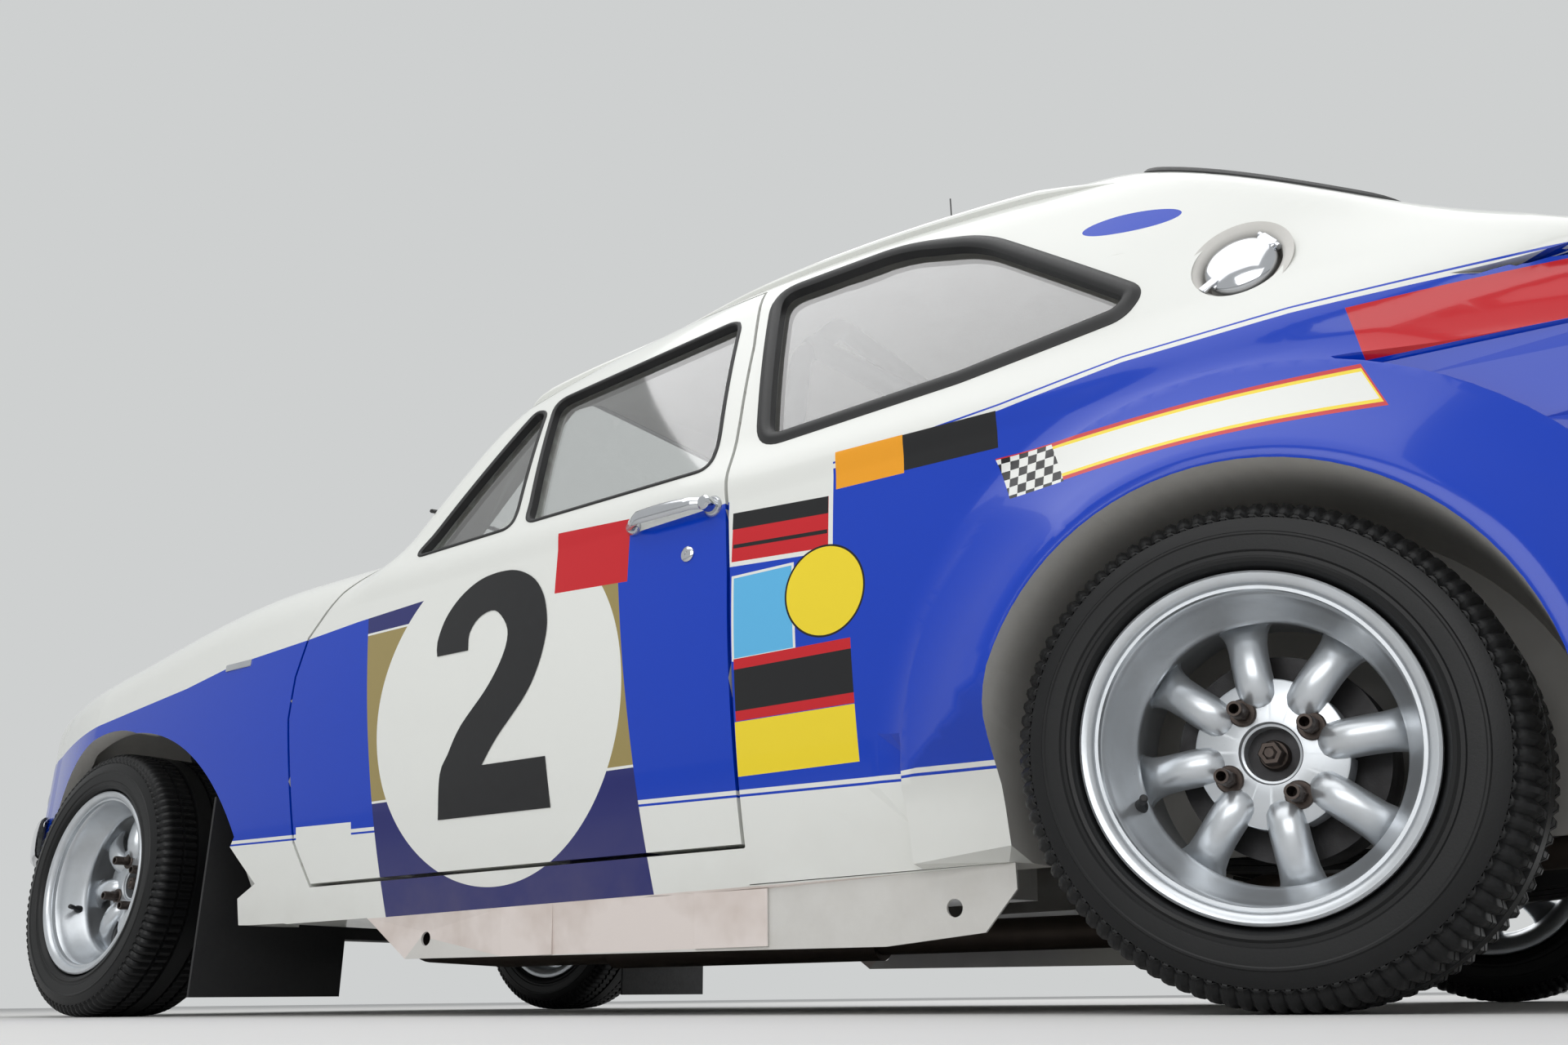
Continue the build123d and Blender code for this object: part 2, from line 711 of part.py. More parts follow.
with BuildPart() as front_suspension:
    box_between((-400, 400), (-1240, -1160), (165, 225), Mode.ADD)
    for side in (1, -1):
        with Locations(Plane(origin=spot(side * 462, front_y, 188), z_dir=(1, 0, 0))):
            Cylinder(15, 144)
    bar_path = [(-412, -1226, 188), (-402, -1480, 200), (402, -1480, 200), (412, -1226, 188)]
    with BuildLine() as bar:
        FilletPolyline(*[spot(*p) for p in bar_path], radius=60)
    with BuildSketch(Plane(origin=bar.line @ 0, z_dir=bar.line % 0)):
        Circle(11)
    sweep()

with BuildPart() as steering_gear:
    with Locations(Plane(origin=spot(0, -1080, 262), z_dir=(1, 0, 0))):
        Cylinder(24, 600)
    for side in (1, -1):
        with Locations(Plane(origin=spot(side * 400, -1080, 262), z_dir=(1, 0, 0))):
            Cylinder(10, 240)

# Rear axle on two leaf springs with dampers
with BuildPart() as rear_axle:
    with Locations(Plane(origin=spot(0, rear_y, wheel_z), z_dir=(1, 0, 0))):
        Cylinder(36, 1240)
    with BuildSketch(Plane(origin=spot(0, rear_y, wheel_z), x_dir=(1, 0, 0), z_dir=(0, -1, 0))):
        Circle(120)
    extrude(amount=80, both=True, taper=12)
    for side in (1, -1):
        with BuildSketch(beside(side * 455 - 25)):
            with BuildLine():
                ThreePointArc((690, 285), (rear_y, 196), (1735, 285))
                offset(amount=13, side=Side.BOTH, closed=True)
            make_face()
        extrude(amount=50)
        box_between(sorted((side * 420, side * 490)), (rear_y - 45, rear_y + 45), (200, 250), Mode.ADD)

# Roll cage
tube = 19
with BuildPart() as roll_cage:
    hoop_half = [(600, 452, 178), (600, 452, 700), (530, 452, 1070), (400, 452, 1190)]
    hoop = [(-x, y, z) for x, y, z in hoop_half] + hoop_half[::-1]
    with BuildLine() as bend:
        FilletPolyline(*[spot(*p) for p in hoop], radius=60)
    with BuildSketch(Plane(origin=bend.line @ 0, z_dir=bend.line % 0)):
        Circle(tube)
    sweep()
    for side in (1, -1):
        with BuildLine() as stay:
            Line(spot(side * 500, 452, 1110), spot(side * 500, 1120, 570))
        with BuildSketch(Plane(origin=stay.line @ 0, z_dir=stay.line % 0)):
            Circle(tube)
        sweep()

# Seats, dashboard and steering wheel
seat_x = 357
with BuildPart() as seats:
    for side in (1, -1):
        with BuildSketch(beside(side * seat_x - 200)):
            with BuildLine():
                Polyline((-80, 240), (-110, 380), (240, 330), (390, 900), (430, 900), (350, 300), (300, 178),
                         (-60, 178), close=True)
            make_face()
        extrude(amount=400)

# The steering column is on the car's right
column_foot = (-335, -290, 600)
wheel_middle = (-335, -80, 700)
column_dir = Vector(0, wheel_middle[1] - column_foot[1], wheel_middle[2] - column_foot[2]).normalized()
with BuildPart() as dashboard:
    with BuildSketch(beside(-620)):
        with BuildLine():
            Polyline((-325, 735), (-215, 735), (-190, 690), (-220, 600), (-325, 590), close=True)
        make_face()
    extrude(amount=1240)
    column_end = Vector(*spot(*wheel_middle)) - column_dir * 66
    with BuildSketch(Plane(origin=column_end, x_dir=(1, 0, 0), z_dir=column_dir)):
        Circle(24)
    extrude(amount=-110)

with BuildPart() as steering_wheel:
    with BuildSketch(Plane(origin=spot(*wheel_middle), x_dir=(1, 0, 0), z_dir=column_dir)):
        Circle(185)
        Circle(157, mode=Mode.SUBTRACT)
    extrude(amount=14, both=True)
    with BuildSketch(Plane(origin=spot(*wheel_middle), x_dir=(1, 0, 0), z_dir=column_dir)):
        Circle(45)
        for angle in (0, 180, 270):
            arm = Vector(100, 0).rotate(Axis.Z, angle)
            with Locations(Location((arm.X, arm.Y), angle)):
                Rectangle(130, 26)
    extrude(amount=3, both=True)
    with BuildSketch(Plane(origin=spot(*wheel_middle), x_dir=(1, 0, 0), z_dir=column_dir)):
        Circle(20)
    extrude(amount=-60)

# Mud flaps: rubber sheets hung behind the front arches and under the rear floor
with BuildPart() as mud_flaps:
    for side in (1, -1):
        box_between(sorted((side * 430, side * 760)), (-786, -780), (34, 400), Mode.ADD)
        box_between(sorted((side * 590, side * 722)), (1520, 1526), (40, 190), Mode.ADD)
        box_between(sorted((side * 590, side * 688)), (1520, 1526), (190, 323.5), Mode.ADD)

# Filler: a cup in the pillar and a flip cap in the cup
with BuildPart() as fuel_filler:
    with BuildSketch(filler_plane):
        Circle(60)
    extrude(amount=-60)
    with BuildSketch(filler_plane.offset(-30)):
        Circle(55)
    extrude(amount=60, mode=Mode.SUBTRACT)

with BuildPart() as fuel_cap:
    with BuildSketch(filler_plane.offset(-24)):
        Circle(41)
    extrude(amount=24)

# Whip aerial on the roof
with BuildPart() as roof_aerial:
    with BuildSketch(above(1319.45)):
        with Locations((0, 500)):
            Circle(8)
    extrude(amount=25)
    with BuildSketch(above(1344)):
        with Locations((0, 500)):
            Circle(1.5)
    extrude(amount=330)

for name, piece in {
    "floor_pan": floor_pan, "boot_floor": boot_floor, "bulkhead": bulkhead, "roof_and_pillars": roof_and_pillars,
    "rear_quarters": rear_quarters, "tail_panel": tail_panel, "front_wings": front_wings,
    "front_panel": front_panel, "scuttle": scuttle, "inner_arches": inner_arches, "fixed_glass": fixed_glass,
    "grille": grille, "headlamps": headlamps, "rear_lamps": rear_lamps, "bumpers": bumpers,
    "engine_block": engine_block, "driveline": driveline, "radiator": radiator, "exhaust": exhaust,
    "front_suspension": front_suspension, "steering_gear": steering_gear, "rear_axle": rear_axle,
    "roll_cage": roll_cage, "seats": seats, "dashboard": dashboard, "steering_wheel": steering_wheel,
    "mud_flaps": mud_flaps, "fuel_filler": fuel_filler, "fuel_cap": fuel_cap, "roof_aerial": roof_aerial,
    "bonnet": bonnet, "boot_lid": boot_lid,
}.items():
    save(piece, name)

for name, piece in {
    "door": door_left, "door_glass": door_left_glass, "door_handle": door_left_handle, "knuckle": knuckle_left,
}.items():
    save(piece, f"{name}_left")
    with BuildPart() as right:
        mirror(piece.part, about=Plane.YZ)
    save(right, f"{name}_right")
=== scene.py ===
import json
import math

import bmesh
import bpy
import numpy as np
from mathutils import Matrix, Vector
from mathutils.geometry import delaunay_2d_cdt

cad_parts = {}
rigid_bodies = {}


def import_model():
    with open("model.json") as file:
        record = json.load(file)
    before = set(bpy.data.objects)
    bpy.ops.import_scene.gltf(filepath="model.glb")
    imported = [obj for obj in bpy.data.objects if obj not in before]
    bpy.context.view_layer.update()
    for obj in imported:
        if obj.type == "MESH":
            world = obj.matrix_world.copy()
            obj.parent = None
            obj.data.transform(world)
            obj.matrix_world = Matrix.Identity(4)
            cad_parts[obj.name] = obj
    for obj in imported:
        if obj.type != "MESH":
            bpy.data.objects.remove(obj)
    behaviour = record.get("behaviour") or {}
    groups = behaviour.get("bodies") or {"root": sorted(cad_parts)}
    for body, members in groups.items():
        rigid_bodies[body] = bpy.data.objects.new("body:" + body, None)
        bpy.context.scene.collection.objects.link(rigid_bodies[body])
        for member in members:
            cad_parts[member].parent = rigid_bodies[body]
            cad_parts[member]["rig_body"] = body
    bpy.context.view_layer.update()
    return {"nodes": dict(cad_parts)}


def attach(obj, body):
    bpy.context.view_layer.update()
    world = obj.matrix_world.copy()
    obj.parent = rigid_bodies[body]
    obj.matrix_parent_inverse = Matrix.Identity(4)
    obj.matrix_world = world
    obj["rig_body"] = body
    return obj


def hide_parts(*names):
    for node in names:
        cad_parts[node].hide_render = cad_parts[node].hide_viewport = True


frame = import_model()

# Studio: a pale floor under a plain pale sky, with three large soft lamps. The camera stands at
# floor level beside the left rear wheel and looks forwards and up along the car.
scene = bpy.context.scene
scene.view_settings.view_transform = "Standard"
eye = (2.187, 1.479, 0.02)
yaw, pitch, roll = 0.6096, 0.3562, -0.0113
forward = Vector((-math.cos(pitch) * math.cos(yaw), -math.cos(pitch) * math.sin(yaw), math.sin(pitch)))
level = forward.cross(Vector((0, 0, 1))).normalized()
upright = level.cross(forward)
across_view = math.cos(roll) * level + math.sin(roll) * upright
up_view = -math.sin(roll) * level + math.cos(roll) * upright
camera = bpy.data.objects.new("camera", bpy.data.cameras.new("camera"))
camera.matrix_world = Matrix((
    (across_view.x, up_view.x, -forward.x, eye[0]),
    (across_view.y, up_view.y, -forward.y, eye[1]),
    (across_view.z, up_view.z, -forward.z, eye[2]),
    (0, 0, 0, 1),
))
focal_pixels, image_pixels, film_width = 1568, 1920, 36
camera.data.lens = focal_pixels / image_pixels * film_width
camera.data.clip_start = 0.02
scene.collection.objects.link(camera)
scene.camera = camera


def soft_lamp(name, place, target, width, height, watts):
    lamp = bpy.data.objects.new(name, bpy.data.lights.new(name, "AREA"))
    lamp.data.shape = "RECTANGLE"
    lamp.data.size = width
    lamp.data.size_y = height
    lamp.data.energy = watts
    lamp.location = place
    lamp.rotation_mode = "QUATERNION"
    lamp.rotation_quaternion = (Vector(target) - Vector(place)).to_track_quat("-Z", "Y")
    scene.collection.objects.link(lamp)


soft_lamp("lamp_above", (1.0, 0.0, 4.6), (0, 0, 0.4), 5.0, 7.0, 150)
soft_lamp("lamp_left", (5.5, 1.5, 2.2), (0, 0, 0.5), 4.0, 2.4, 80)
soft_lamp("lamp_right", (-5.5, -1.5, 2.6), (0, 0, 0.5), 4.0, 2.4, 60)

# The middle of the wheelbase in the car's frame, in millimetres
middle = -90


class Wire:
    """A number inside a material: sums and comparisons on it add Math nodes."""

    def __init__(self, paint, socket):
        self.paint = paint
        self.socket = socket

    def __add__(self, other):
        return self.paint.math("ADD", self, other)

    __radd__ = __add__

    def __sub__(self, other):
        return self.paint.math("SUBTRACT", self, other)

    def __rsub__(self, other):
        return self.paint.math("SUBTRACT", other, self)

    def __mul__(self, other):
        return self.paint.math("MULTIPLY", self, other)

    __rmul__ = __mul__

    def __truediv__(self, other):
        return self.paint.math("DIVIDE", self, other)

    def __gt__(self, other):
        return self.paint.math("GREATER_THAN", self, other)

    def __lt__(self, other):
        return self.paint.math("LESS_THAN", self, other)

    def __abs__(self):
        return self.paint.math("ABSOLUTE", self)

    def cut(self, low, high):
        return self.paint.math("MINIMUM", self.paint.math("MAXIMUM", self, low), high)


class Paint:
    """One material and its nodes."""

    def __init__(self, name):
        self.material = bpy.data.materials.new(name)
        self.material.use_nodes = True
        self.tree = self.material.node_tree
        self.tree.nodes.clear()

    def node(self, kind, settings=None, inputs=None, output=0):
        made = self.tree.nodes.new(kind)
        for key, value in (settings or {}).items():
            setattr(made, key, value)
        for key, value in (inputs or {}).items():
            if isinstance(value, Wire):
                self.tree.links.new(value.socket, made.inputs[key])
            else:
                made.inputs[key].default_value = value
        return Wire(self, made.outputs[output])

    def math(self, operation, *values):
        return self.node("ShaderNodeMath", {"operation": operation}, dict(enumerate(values)))

    def place(self):
        """The point in the car's frame, as millimetres, with y from the middle of the wheelbase."""
        point = self.node("ShaderNodeTexCoord", output=3)
        parts = self.node("ShaderNodeSeparateXYZ", None, {0: point}).socket.node
        x, y, z = (Wire(self, parts.outputs[i]) * 1000 for i in range(3))
        return x, y - middle, z

    def noise(self, scale, detail=3, roughness=0.5, stretch=(1, 1, 1)):
        point = self.node("ShaderNodeTexCoord", output=3)
        mapped = self.node("ShaderNodeMapping", None, {0: point, 3: stretch})
        return self.node("ShaderNodeTexNoise", None, {0: mapped, 2: scale, 3: detail, 4: roughness})

    def mix(self, mask, under, over):
        return self.node("ShaderNodeMix", {"data_type": "RGBA"}, {0: mask, 6: under, 7: over}, output=2)

    def bump(self, height, distance, strength=1.0):
        sizes = {"Strength": strength, "Distance": distance, "Height": height}
        return self.node("ShaderNodeBump", None, sizes)

    def surface(self, **inputs):
        """The Principled shader and the output. Names of inputs have _ for a space."""
        named = {key.replace("_", " "): value for key, value in inputs.items()}
        shader = self.node("ShaderNodeBsdfPrincipled", None, named)
        end = self.tree.nodes.new("ShaderNodeOutputMaterial")
        self.tree.links.new(shader.socket, end.inputs[0])

    def grained(self, mask, under, over, roughness, height, distance, strength, **more):
        """A finish in two colours, given as on a screen, with a fine relief."""
        colour = self.mix(mask, tone(*under), tone(*over))
        relief = self.bump(height, distance, strength)
        self.surface(Base_Color=colour, Roughness=roughness, Normal=relief, **more)


def tone(red, green, blue):
    """A colour as seen on a screen, 0 to 255, turned to the linear one that a shader takes."""
    return (*(((c / 255 + 0.055) / 1.055) ** 2.4 if c > 10 else c / 3294 for c in (red, green, blue)), 1)


floor_paint = Paint("studio_floor")
spread = floor_paint.noise(3, 2)
floor_shade = floor_paint.mix(spread * 0.15, tone(214, 213, 210), tone(205, 204, 201))
floor_paint.surface(Base_Color=floor_shade, Roughness=0.75)
bpy.ops.mesh.primitive_plane_add(size=60, location=(0, 0, 0))
floor = bpy.context.object
floor.name = "floor"
floor.data.materials.append(floor_paint.material)
world = bpy.data.worlds.new("studio_sky")
scene.world = world
world.use_nodes = True
sky = world.node_tree
sky.nodes.clear()
ambient = sky.nodes.new("ShaderNodeBackground")
ambient.inputs[0].default_value = (0.93, 0.96, 1.0, 1)
ambient.inputs[1].default_value = 0.5
backdrop = sky.nodes.new("ShaderNodeBackground")
backdrop.inputs[0].default_value = tone(206, 208, 208)
backdrop.inputs[1].default_value = 1.0
ray = sky.nodes.new("ShaderNodeLightPath")
seen = sky.nodes.new("ShaderNodeMixShader")
sky_end = sky.nodes.new("ShaderNodeOutputWorld")
shown = ray.outputs["Is Camera Ray"]
for kind in ("Is Glossy Ray", "Is Transmission Ray"):
    either = sky.nodes.new("ShaderNodeMath")
    either.operation = "MAXIMUM"
    sky.links.new(shown, either.inputs[0])
    sky.links.new(ray.outputs[kind], either.inputs[1])
    shown = either.outputs[0]
sky.links.new(shown, seen.inputs[0])
sky.links.new(ambient.outputs[0], seen.inputs[1])
sky.links.new(backdrop.outputs[0], seen.inputs[2])
sky.links.new(seen.outputs[0], sky_end.inputs[0])

# Body skin: pressed and welded steel sheet. The panels of the CAD model are cut from flat-sided
# sections, and here each is pressed onto one smooth surface with soft edges and rolled arches.
# Sizes are in millimetres, with y from the middle of the wheelbase.
front_axle, rear_axle, axle_height = -1200, 1200, 266
section_y = np.array([-1950.0, -1680.0, -1250.0, -600.0, 1250.0, 2100.0])
section_sizes = np.array([
    (230, 650, 700, 470, 690, 500, 600, 520, 545),
    (212, 680, 730, 523, 719, 594, 649, 664, 694),
    (183, 727, 777, 567, 766, 648, 692, 737, 777),
    (155, 735, 785, 590, 778, 705, 705, 812, 845),
    (175, 736, 782, 582, 774, 708, 700, 816, 862),
    (240, 680, 715, 545, 700, 660, 625, 728, 760),
], dtype=float)
step_y = np.diff(section_y)
slopes = np.diff(section_sizes, axis=0) / step_y[:, None]
tangents = np.zeros_like(section_sizes)
tangents[0] = slopes[0]
tangents[-1] = slopes[-1]
for i in range(1, len(section_y) - 1):
    same = slopes[i - 1] * slopes[i] > 0
    steepness = 2 * slopes[i - 1] * slopes[i] / np.where(same, slopes[i - 1] + slopes[i], 1)
    tangents[i] = np.where(same, steepness, 0)


def section_at(y):
    """The nine sizes of the section at each y, on a smooth curve through the six drawn sections."""
    i = np.clip(np.searchsorted(section_y, y) - 1, 0, len(section_y) - 2)
    width = step_y[i]
    t = ((y - section_y[i]) / width)[:, None]
    h = width[:, None]
    a, b = section_sizes[i], section_sizes[i + 1]
    return (
        (1 + 2 * t) * (1 - t) ** 2 * a + t * (1 - t) ** 2 * h * tangents[i]
        + t * t * (3 - 2 * t) * b - t * t * (1 - t) * h * tangents[i + 1]
    ).T


def soft_max(a, b, k):
    h = np.maximum(k - np.abs(a - b), 0) / k
    return np.maximum(a, b) + h * h * k / 4


def soft_min(a, b, k):
    return -soft_max(-a, -b, k)


def arc_through(a, b, c, steps=14):
    """Points on the arc through three points."""
    (ax, ay), (bx, by), (cx, cy) = a, b, c
    d = 2 * (ax * (by - cy) + bx * (cy - ay) + cx * (ay - by))
    aa, bb, cc = ax * ax + ay * ay, bx * bx + by * by, cx * cx + cy * cy
    ux = (aa * (by - cy) + bb * (cy - ay) + cc * (ay - by)) / d
    uy = (aa * (cx - bx) + bb * (ax - cx) + cc * (bx - ax)) / d
    start = math.atan2(ay - uy, ax - ux)
    turn_b, turn_c = ((math.atan2(q[1] - uy, q[0] - ux) - start) % (2 * math.pi) for q in (b, c))
    sweep_angle = turn_c if turn_b < turn_c else turn_c - 2 * math.pi
    radius = math.hypot(ax - ux, ay - uy)
    return [(ux + radius * math.cos(start + sweep_angle * i / steps),
             uy + radius * math.sin(start + sweep_angle * i / steps)) for i in range(steps + 1)]


plan_half = []
for tip, turn_point, corner, flank, straight in (
    ((0, -1845), (540, -1800), (630, -1700), (705, -1530), (795, -1270)),
    ((0, 2035), (620, 2000), (710, 1950), (745, 1860), (800, 1700)),
):
    edge = arc_through((-turn_point[0], turn_point[1]), tip, turn_point)[7:]
    edge = edge + arc_through(turn_point, corner, flank, 8)[1:] + [straight]
    plan_half.append(edge)
plan_points = np.array(plan_half[0] + plan_half[1][::-1])


def plan_distance(x, y):
    """How far a point is outside the body's outline, seen from above."""
    x = np.abs(x)
    best = np.full(x.shape, 1e9)
    for (ax, ay), (bx, by) in zip(plan_points[:-1], plan_points[1:]):
        dx, dy = bx - ax, by - ay
        t = np.clip(((x - ax) * dx + (y - ay) * dy) / (dx * dx + dy * dy), 0, 1)
        best = np.minimum(best, np.hypot(x - ax - t * dx, y - ay - t * dy))
    limit = np.interp(y, plan_points[:, 1], plan_points[:, 0], left=-1, right=-1)
    return np.where(x < limit, -best, best)


screen_slope, back_slope = math.radians(51.3), math.radians(34.8)
screen_foot, back_foot = (-385, 770), (1470, 909)
cabin_radius, cabin_offset, cabin_height = 2270, 1442, 209
roof_middle, roof_radius = 560, 1880
crown_offset, crown_radius = 241, 1561


def screen_distance(x, y, z, foot, sine, cosine, bow, half):
    """How far a point is outside a bowed window that leans on a foot."""
    radius = (half ** 2 + bow ** 2) / (2 * bow)
    inwards = -((y - foot[0]) * sine + (z - foot[1]) * cosine)
    return np.hypot(x, inwards - (radius - bow)) - radius


pillar_lean = 44
arch_reach = 845


def narrowing(y, z):
    """How far the rear pillars lean in towards the tail."""
    rise = np.clip((z - 770) / 180, 0, 1)
    return pillar_lean * np.clip((y - 1080) / 400, 0, 1.1) ** 1.3 * rise * rise * (3 - 2 * rise)


def cabin_distance(x, y, z):
    """How far a point is outside the glasshouse: its arched sides and roof and its two screens."""
    side = np.hypot(np.abs(x) + cabin_offset + narrowing(y, z), z - cabin_height) - cabin_radius
    crown = np.hypot(y - roof_middle, z + roof_radius) - roof_radius
    roof = np.hypot(x, crown + crown_offset) - crown_radius
    front = screen_distance(x, y, z, screen_foot, -math.sin(screen_slope), math.cos(screen_slope), 80, 650)
    back = screen_distance(x, y, z, back_foot, math.sin(back_slope), math.cos(back_slope), 25, 580)
    cabin = soft_max(soft_max(side, roof, 60), soft_max(front, back, 20), 34)
    return soft_max(cabin, 750 - z, 30)


def lower_distance(x, y, z):
    """How far a point is outside the body below its windows."""
    sill_z, sill_x, crease_x, crease_z, edge_x, edge_z, top_x, top_z, crown = section_at(y)
    ax = np.abs(x)
    t = (z - sill_z) / (crease_z - sill_z)
    lower = sill_x + (crease_x - sill_x) * t + 40 * t * (1 - t)
    upper = crease_x + (edge_x - crease_x) * (z - crease_z) / (edge_z - crease_z)
    side = soft_max(ax - lower, ax - upper, 12)
    top = z - (top_z + (crown - top_z) * (1 - (ax / top_x) ** 2))
    reach = np.sqrt(np.maximum(side + 90, 0) ** 2 + np.maximum(top + 90, 0) ** 2) - 90
    shell = np.where((side > -90) & (top > -90), reach, np.maximum(side, top))
    return soft_max(shell, plan_distance(x, y), 44)


def arch_bulge(x, y, z):
    """The rear arch, rolled out round the wheel, as how far a point is outside it."""
    r = np.where(z > axle_height, np.hypot(y - rear_axle, z - axle_height), np.abs(y - rear_axle))
    radii = [280, 305, 315, 350, 400, 440, 520]
    lip = np.interp(r, radii, [838, arch_reach, arch_reach, 826, 797, 774, 690])
    rise = np.clip((z - 240) / 150, 0, 1)
    foot = np.interp(z, (144, 289), (744, 772))
    swell = foot + (arch_reach - foot) * rise * rise * (3 - 2 * rise)
    lip = np.where(y < rear_axle, np.minimum(lip, swell), lip)
    return soft_max(np.abs(x) - lip, r - 500, 20)


def skin_distance(p):
    """How far a point is outside the whole skin, with the arches and the cabin run in softly."""
    x, y, z = p.T
    lower = soft_min(lower_distance(x, y, z), arch_bulge(x, y, z), 46)
    return soft_min(lower, cabin_distance(x, y, z), 40)


def slope_of(distance, p):
    """The direction out of a surface at each point."""
    step = 0.5
    out = np.empty_like(p)
    for i in range(3):
        shift = np.zeros(3)
        shift[i] = step
        out[:, i] = (distance(p + shift) - distance(p - shift)) / (2 * step)
    return out


def press(p, distance, depth=0.0, rounds=4):
    """Moves points onto a surface, straight out or in."""
    for _ in range(rounds):
        out = slope_of(distance, p)
        p = p - out * ((distance(p) + depth) / np.maximum((out ** 2).sum(1), 0.2))[:, None]
    return p


def to_sheet(co):
    """From the car's frame in metres to millimetres from the middle of the wheelbase."""
    return co * 1000 - (0, middle, 0)


def to_row(p):
    """The way back from to_sheet."""
    return (p + (0, middle, 0)) / 1000


def values_of(items, what):
    """One vector of every vertex or face, as rows of three numbers."""
    numbers = np.empty(len(items) * 3)
    items.foreach_get(what, numbers)
    return numbers.reshape(-1, 3)


def shaded(mesh, soft, normals):
    """Smooth shading on the faces in soft, from the surface's own directions."""
    mesh.polygons.foreach_set("use_smooth", [True] * len(mesh.polygons))
    loops = np.empty(len(mesh.loops), int)
    mesh.loops.foreach_get("vertex_index", loops)
    totals = np.empty(len(mesh.polygons), int)
    mesh.polygons.foreach_get("loop_total", totals)
    face_of = np.repeat(np.arange(len(totals)), totals)
    flat = values_of(mesh.polygons, "normal")
    chosen = np.where(soft[face_of][:, None], normals[loops], flat[face_of])
    mesh.normals_split_custom_set(chosen.tolist())


def reshaped(p):
    """Widens the rear window nearly to its pillars, and slopes the front end of each sill."""
    x, y, z = p.T
    limit = -cabin_offset + np.sqrt(cabin_radius ** 2 - (z - cabin_height) ** 2) - 16
    edge = np.interp(z, (932, 1154), (560, 490))
    share = 0.9 * np.clip((y - 1020) / 85, 0, 1) * np.clip((z - 868) / 50, 0, 1)
    beyond = np.where(np.abs(x) < edge, (limit - edge) * np.abs(x) / edge, np.maximum(limit - np.abs(x), 0))
    x = x + np.sign(x) * (share * beyond - narrowing(y, z) * np.clip((np.abs(x) - 400) / 150, 0, 1))
    goal = -723 + (309 - np.clip(z, 150, 309)) * 1.117
    start = np.where(z < 213, -641, -690)
    reach = np.clip((np.abs(x) - 640) / 40, 0, 1) * np.clip((-520 - y) / (-520 - start), 0, 1)
    y = y + (goal - start) * (reach * (y > start - 12) * (z < 309))
    return np.stack([x, y, z], axis=1)


inner_depth = 8.0
housing_radius = 420


def dress(node, name, outside, inside, distance=skin_distance, depths=(0.0,),
          cell=28, low=-17, high=48):
    """A copy of a CAD panel whose outer faces are pressed onto the smooth surface."""
    source = frame["nodes"][node]
    bm = bmesh.new()
    bm.from_mesh(source.data)
    bmesh.ops.remove_doubles(bm, verts=bm.verts, dist=2e-5)
    for _ in range(9):
        bm.edges.ensure_lookup_table()
        ends = np.array([(*e.verts[0].co, *e.verts[1].co) for e in bm.edges])
        a, b = to_sheet(ends[:, :3]), to_sheet(ends[:, 3:])
        long = np.linalg.norm(a - b, axis=1) > cell
        if not long.any():
            break
        spots = [distance(p[long]) for p in (a, b, (a + b) / 2)]
        on = np.zeros(long.sum(), bool)
        for depth in depths:
            on |= np.all([(s + depth > low) & (s + depth < high) for s in spots], axis=0)
        index = np.nonzero(long)[0][on]
        if not len(index):
            break
        bmesh.ops.subdivide_edges(bm, edges=[bm.edges[i] for i in index], cuts=1)
        bmesh.ops.triangulate(bm, faces=[f for f in bm.faces if len(f.verts) > 3])
    mesh = bpy.data.meshes.new(name)
    bm.to_mesh(mesh)
    bm.free()
    p = reshaped(to_sheet(values_of(mesh.vertices, "co")))
    value = distance(p)
    normals = np.zeros_like(p)
    on_skin = np.zeros(len(p), bool)
    inwards = (values_of(mesh.vertices, "normal") * slope_of(distance, p)).sum(1) < -0.6
    for number, depth in enumerate(depths):
        near = (value + depth > low) & (value + depth < high) & ~on_skin
        if len(depths) == 1:
            sunk = near & inwards & (value > -inner_depth)
            p[sunk] = press(p[sunk], distance, inner_depth)
            near &= ~inwards
        p[near] = press(p[near], distance, depth)
        out = slope_of(distance, p[near])
        out /= np.maximum(np.linalg.norm(out, axis=1), 1e-6)[:, None]
        normals[near] = out if number == 0 else -out
        on_skin |= near
    mesh.vertices.foreach_set("co", to_row(p).ravel())
    mesh.update()
    corners = np.array([tuple(f.vertices) for f in mesh.polygons])
    flat = values_of(mesh.polygons, "normal")
    facing = (flat * normals[corners[:, 0]]).sum(1)
    shaded(mesh, on_skin[corners].all(axis=1) & (facing > 0.35), normals)
    mesh.materials.append(outside)
    mesh.materials.append(inside)
    outer = (on_skin[corners].sum(axis=1) >= 1) & (inwards[corners].sum(axis=1) < 2)
    middles = p[corners].mean(axis=1)
    for axle in (front_axle, rear_axle):
        spread = middles[:, 1:] - (axle, axle_height)
        radius = np.linalg.norm(spread, axis=1)
        outer &= ~(((flat[:, 1:] * spread).sum(1) < -0.5 * radius) & (radius < housing_radius))
    mesh.polygons.foreach_set("material_index", np.where(outer, 0, 1))
    piece = bpy.data.objects.new(name, mesh)
    scene.collection.objects.link(piece)
    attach(piece, source["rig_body"])
    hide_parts(node)


# Paint: gloss white with a royal blue side, a dark and gold panel behind the white roundel, and plain
# coloured panels along the rear wing. It is sprayed and masked by hand, so every edge has its height and
# its place along the car.
livery = Paint("race_paint")
x, y, z = livery.place()
side = abs(x)
white = tone(226, 227, 222)
blue = tone(2, 58, 182)
navy = tone(34, 38, 104)
gold = tone(152, 136, 84)
red = tone(196, 24, 34)
black = tone(20, 20, 22)
yellow = tone(238, 212, 44)
orange = tone(236, 158, 28)
pale_blue = tone(92, 178, 224)


def along(points):
    """A height that changes along the car, straight between points."""
    height = y * 0 + points[0][1]
    for (y0, z0), (y1, z1) in zip(points[:-1], points[1:]):
        height = height + (y - y0).cut(0, y1 - y0) * ((z1 - z0) / (y1 - y0))
    return height


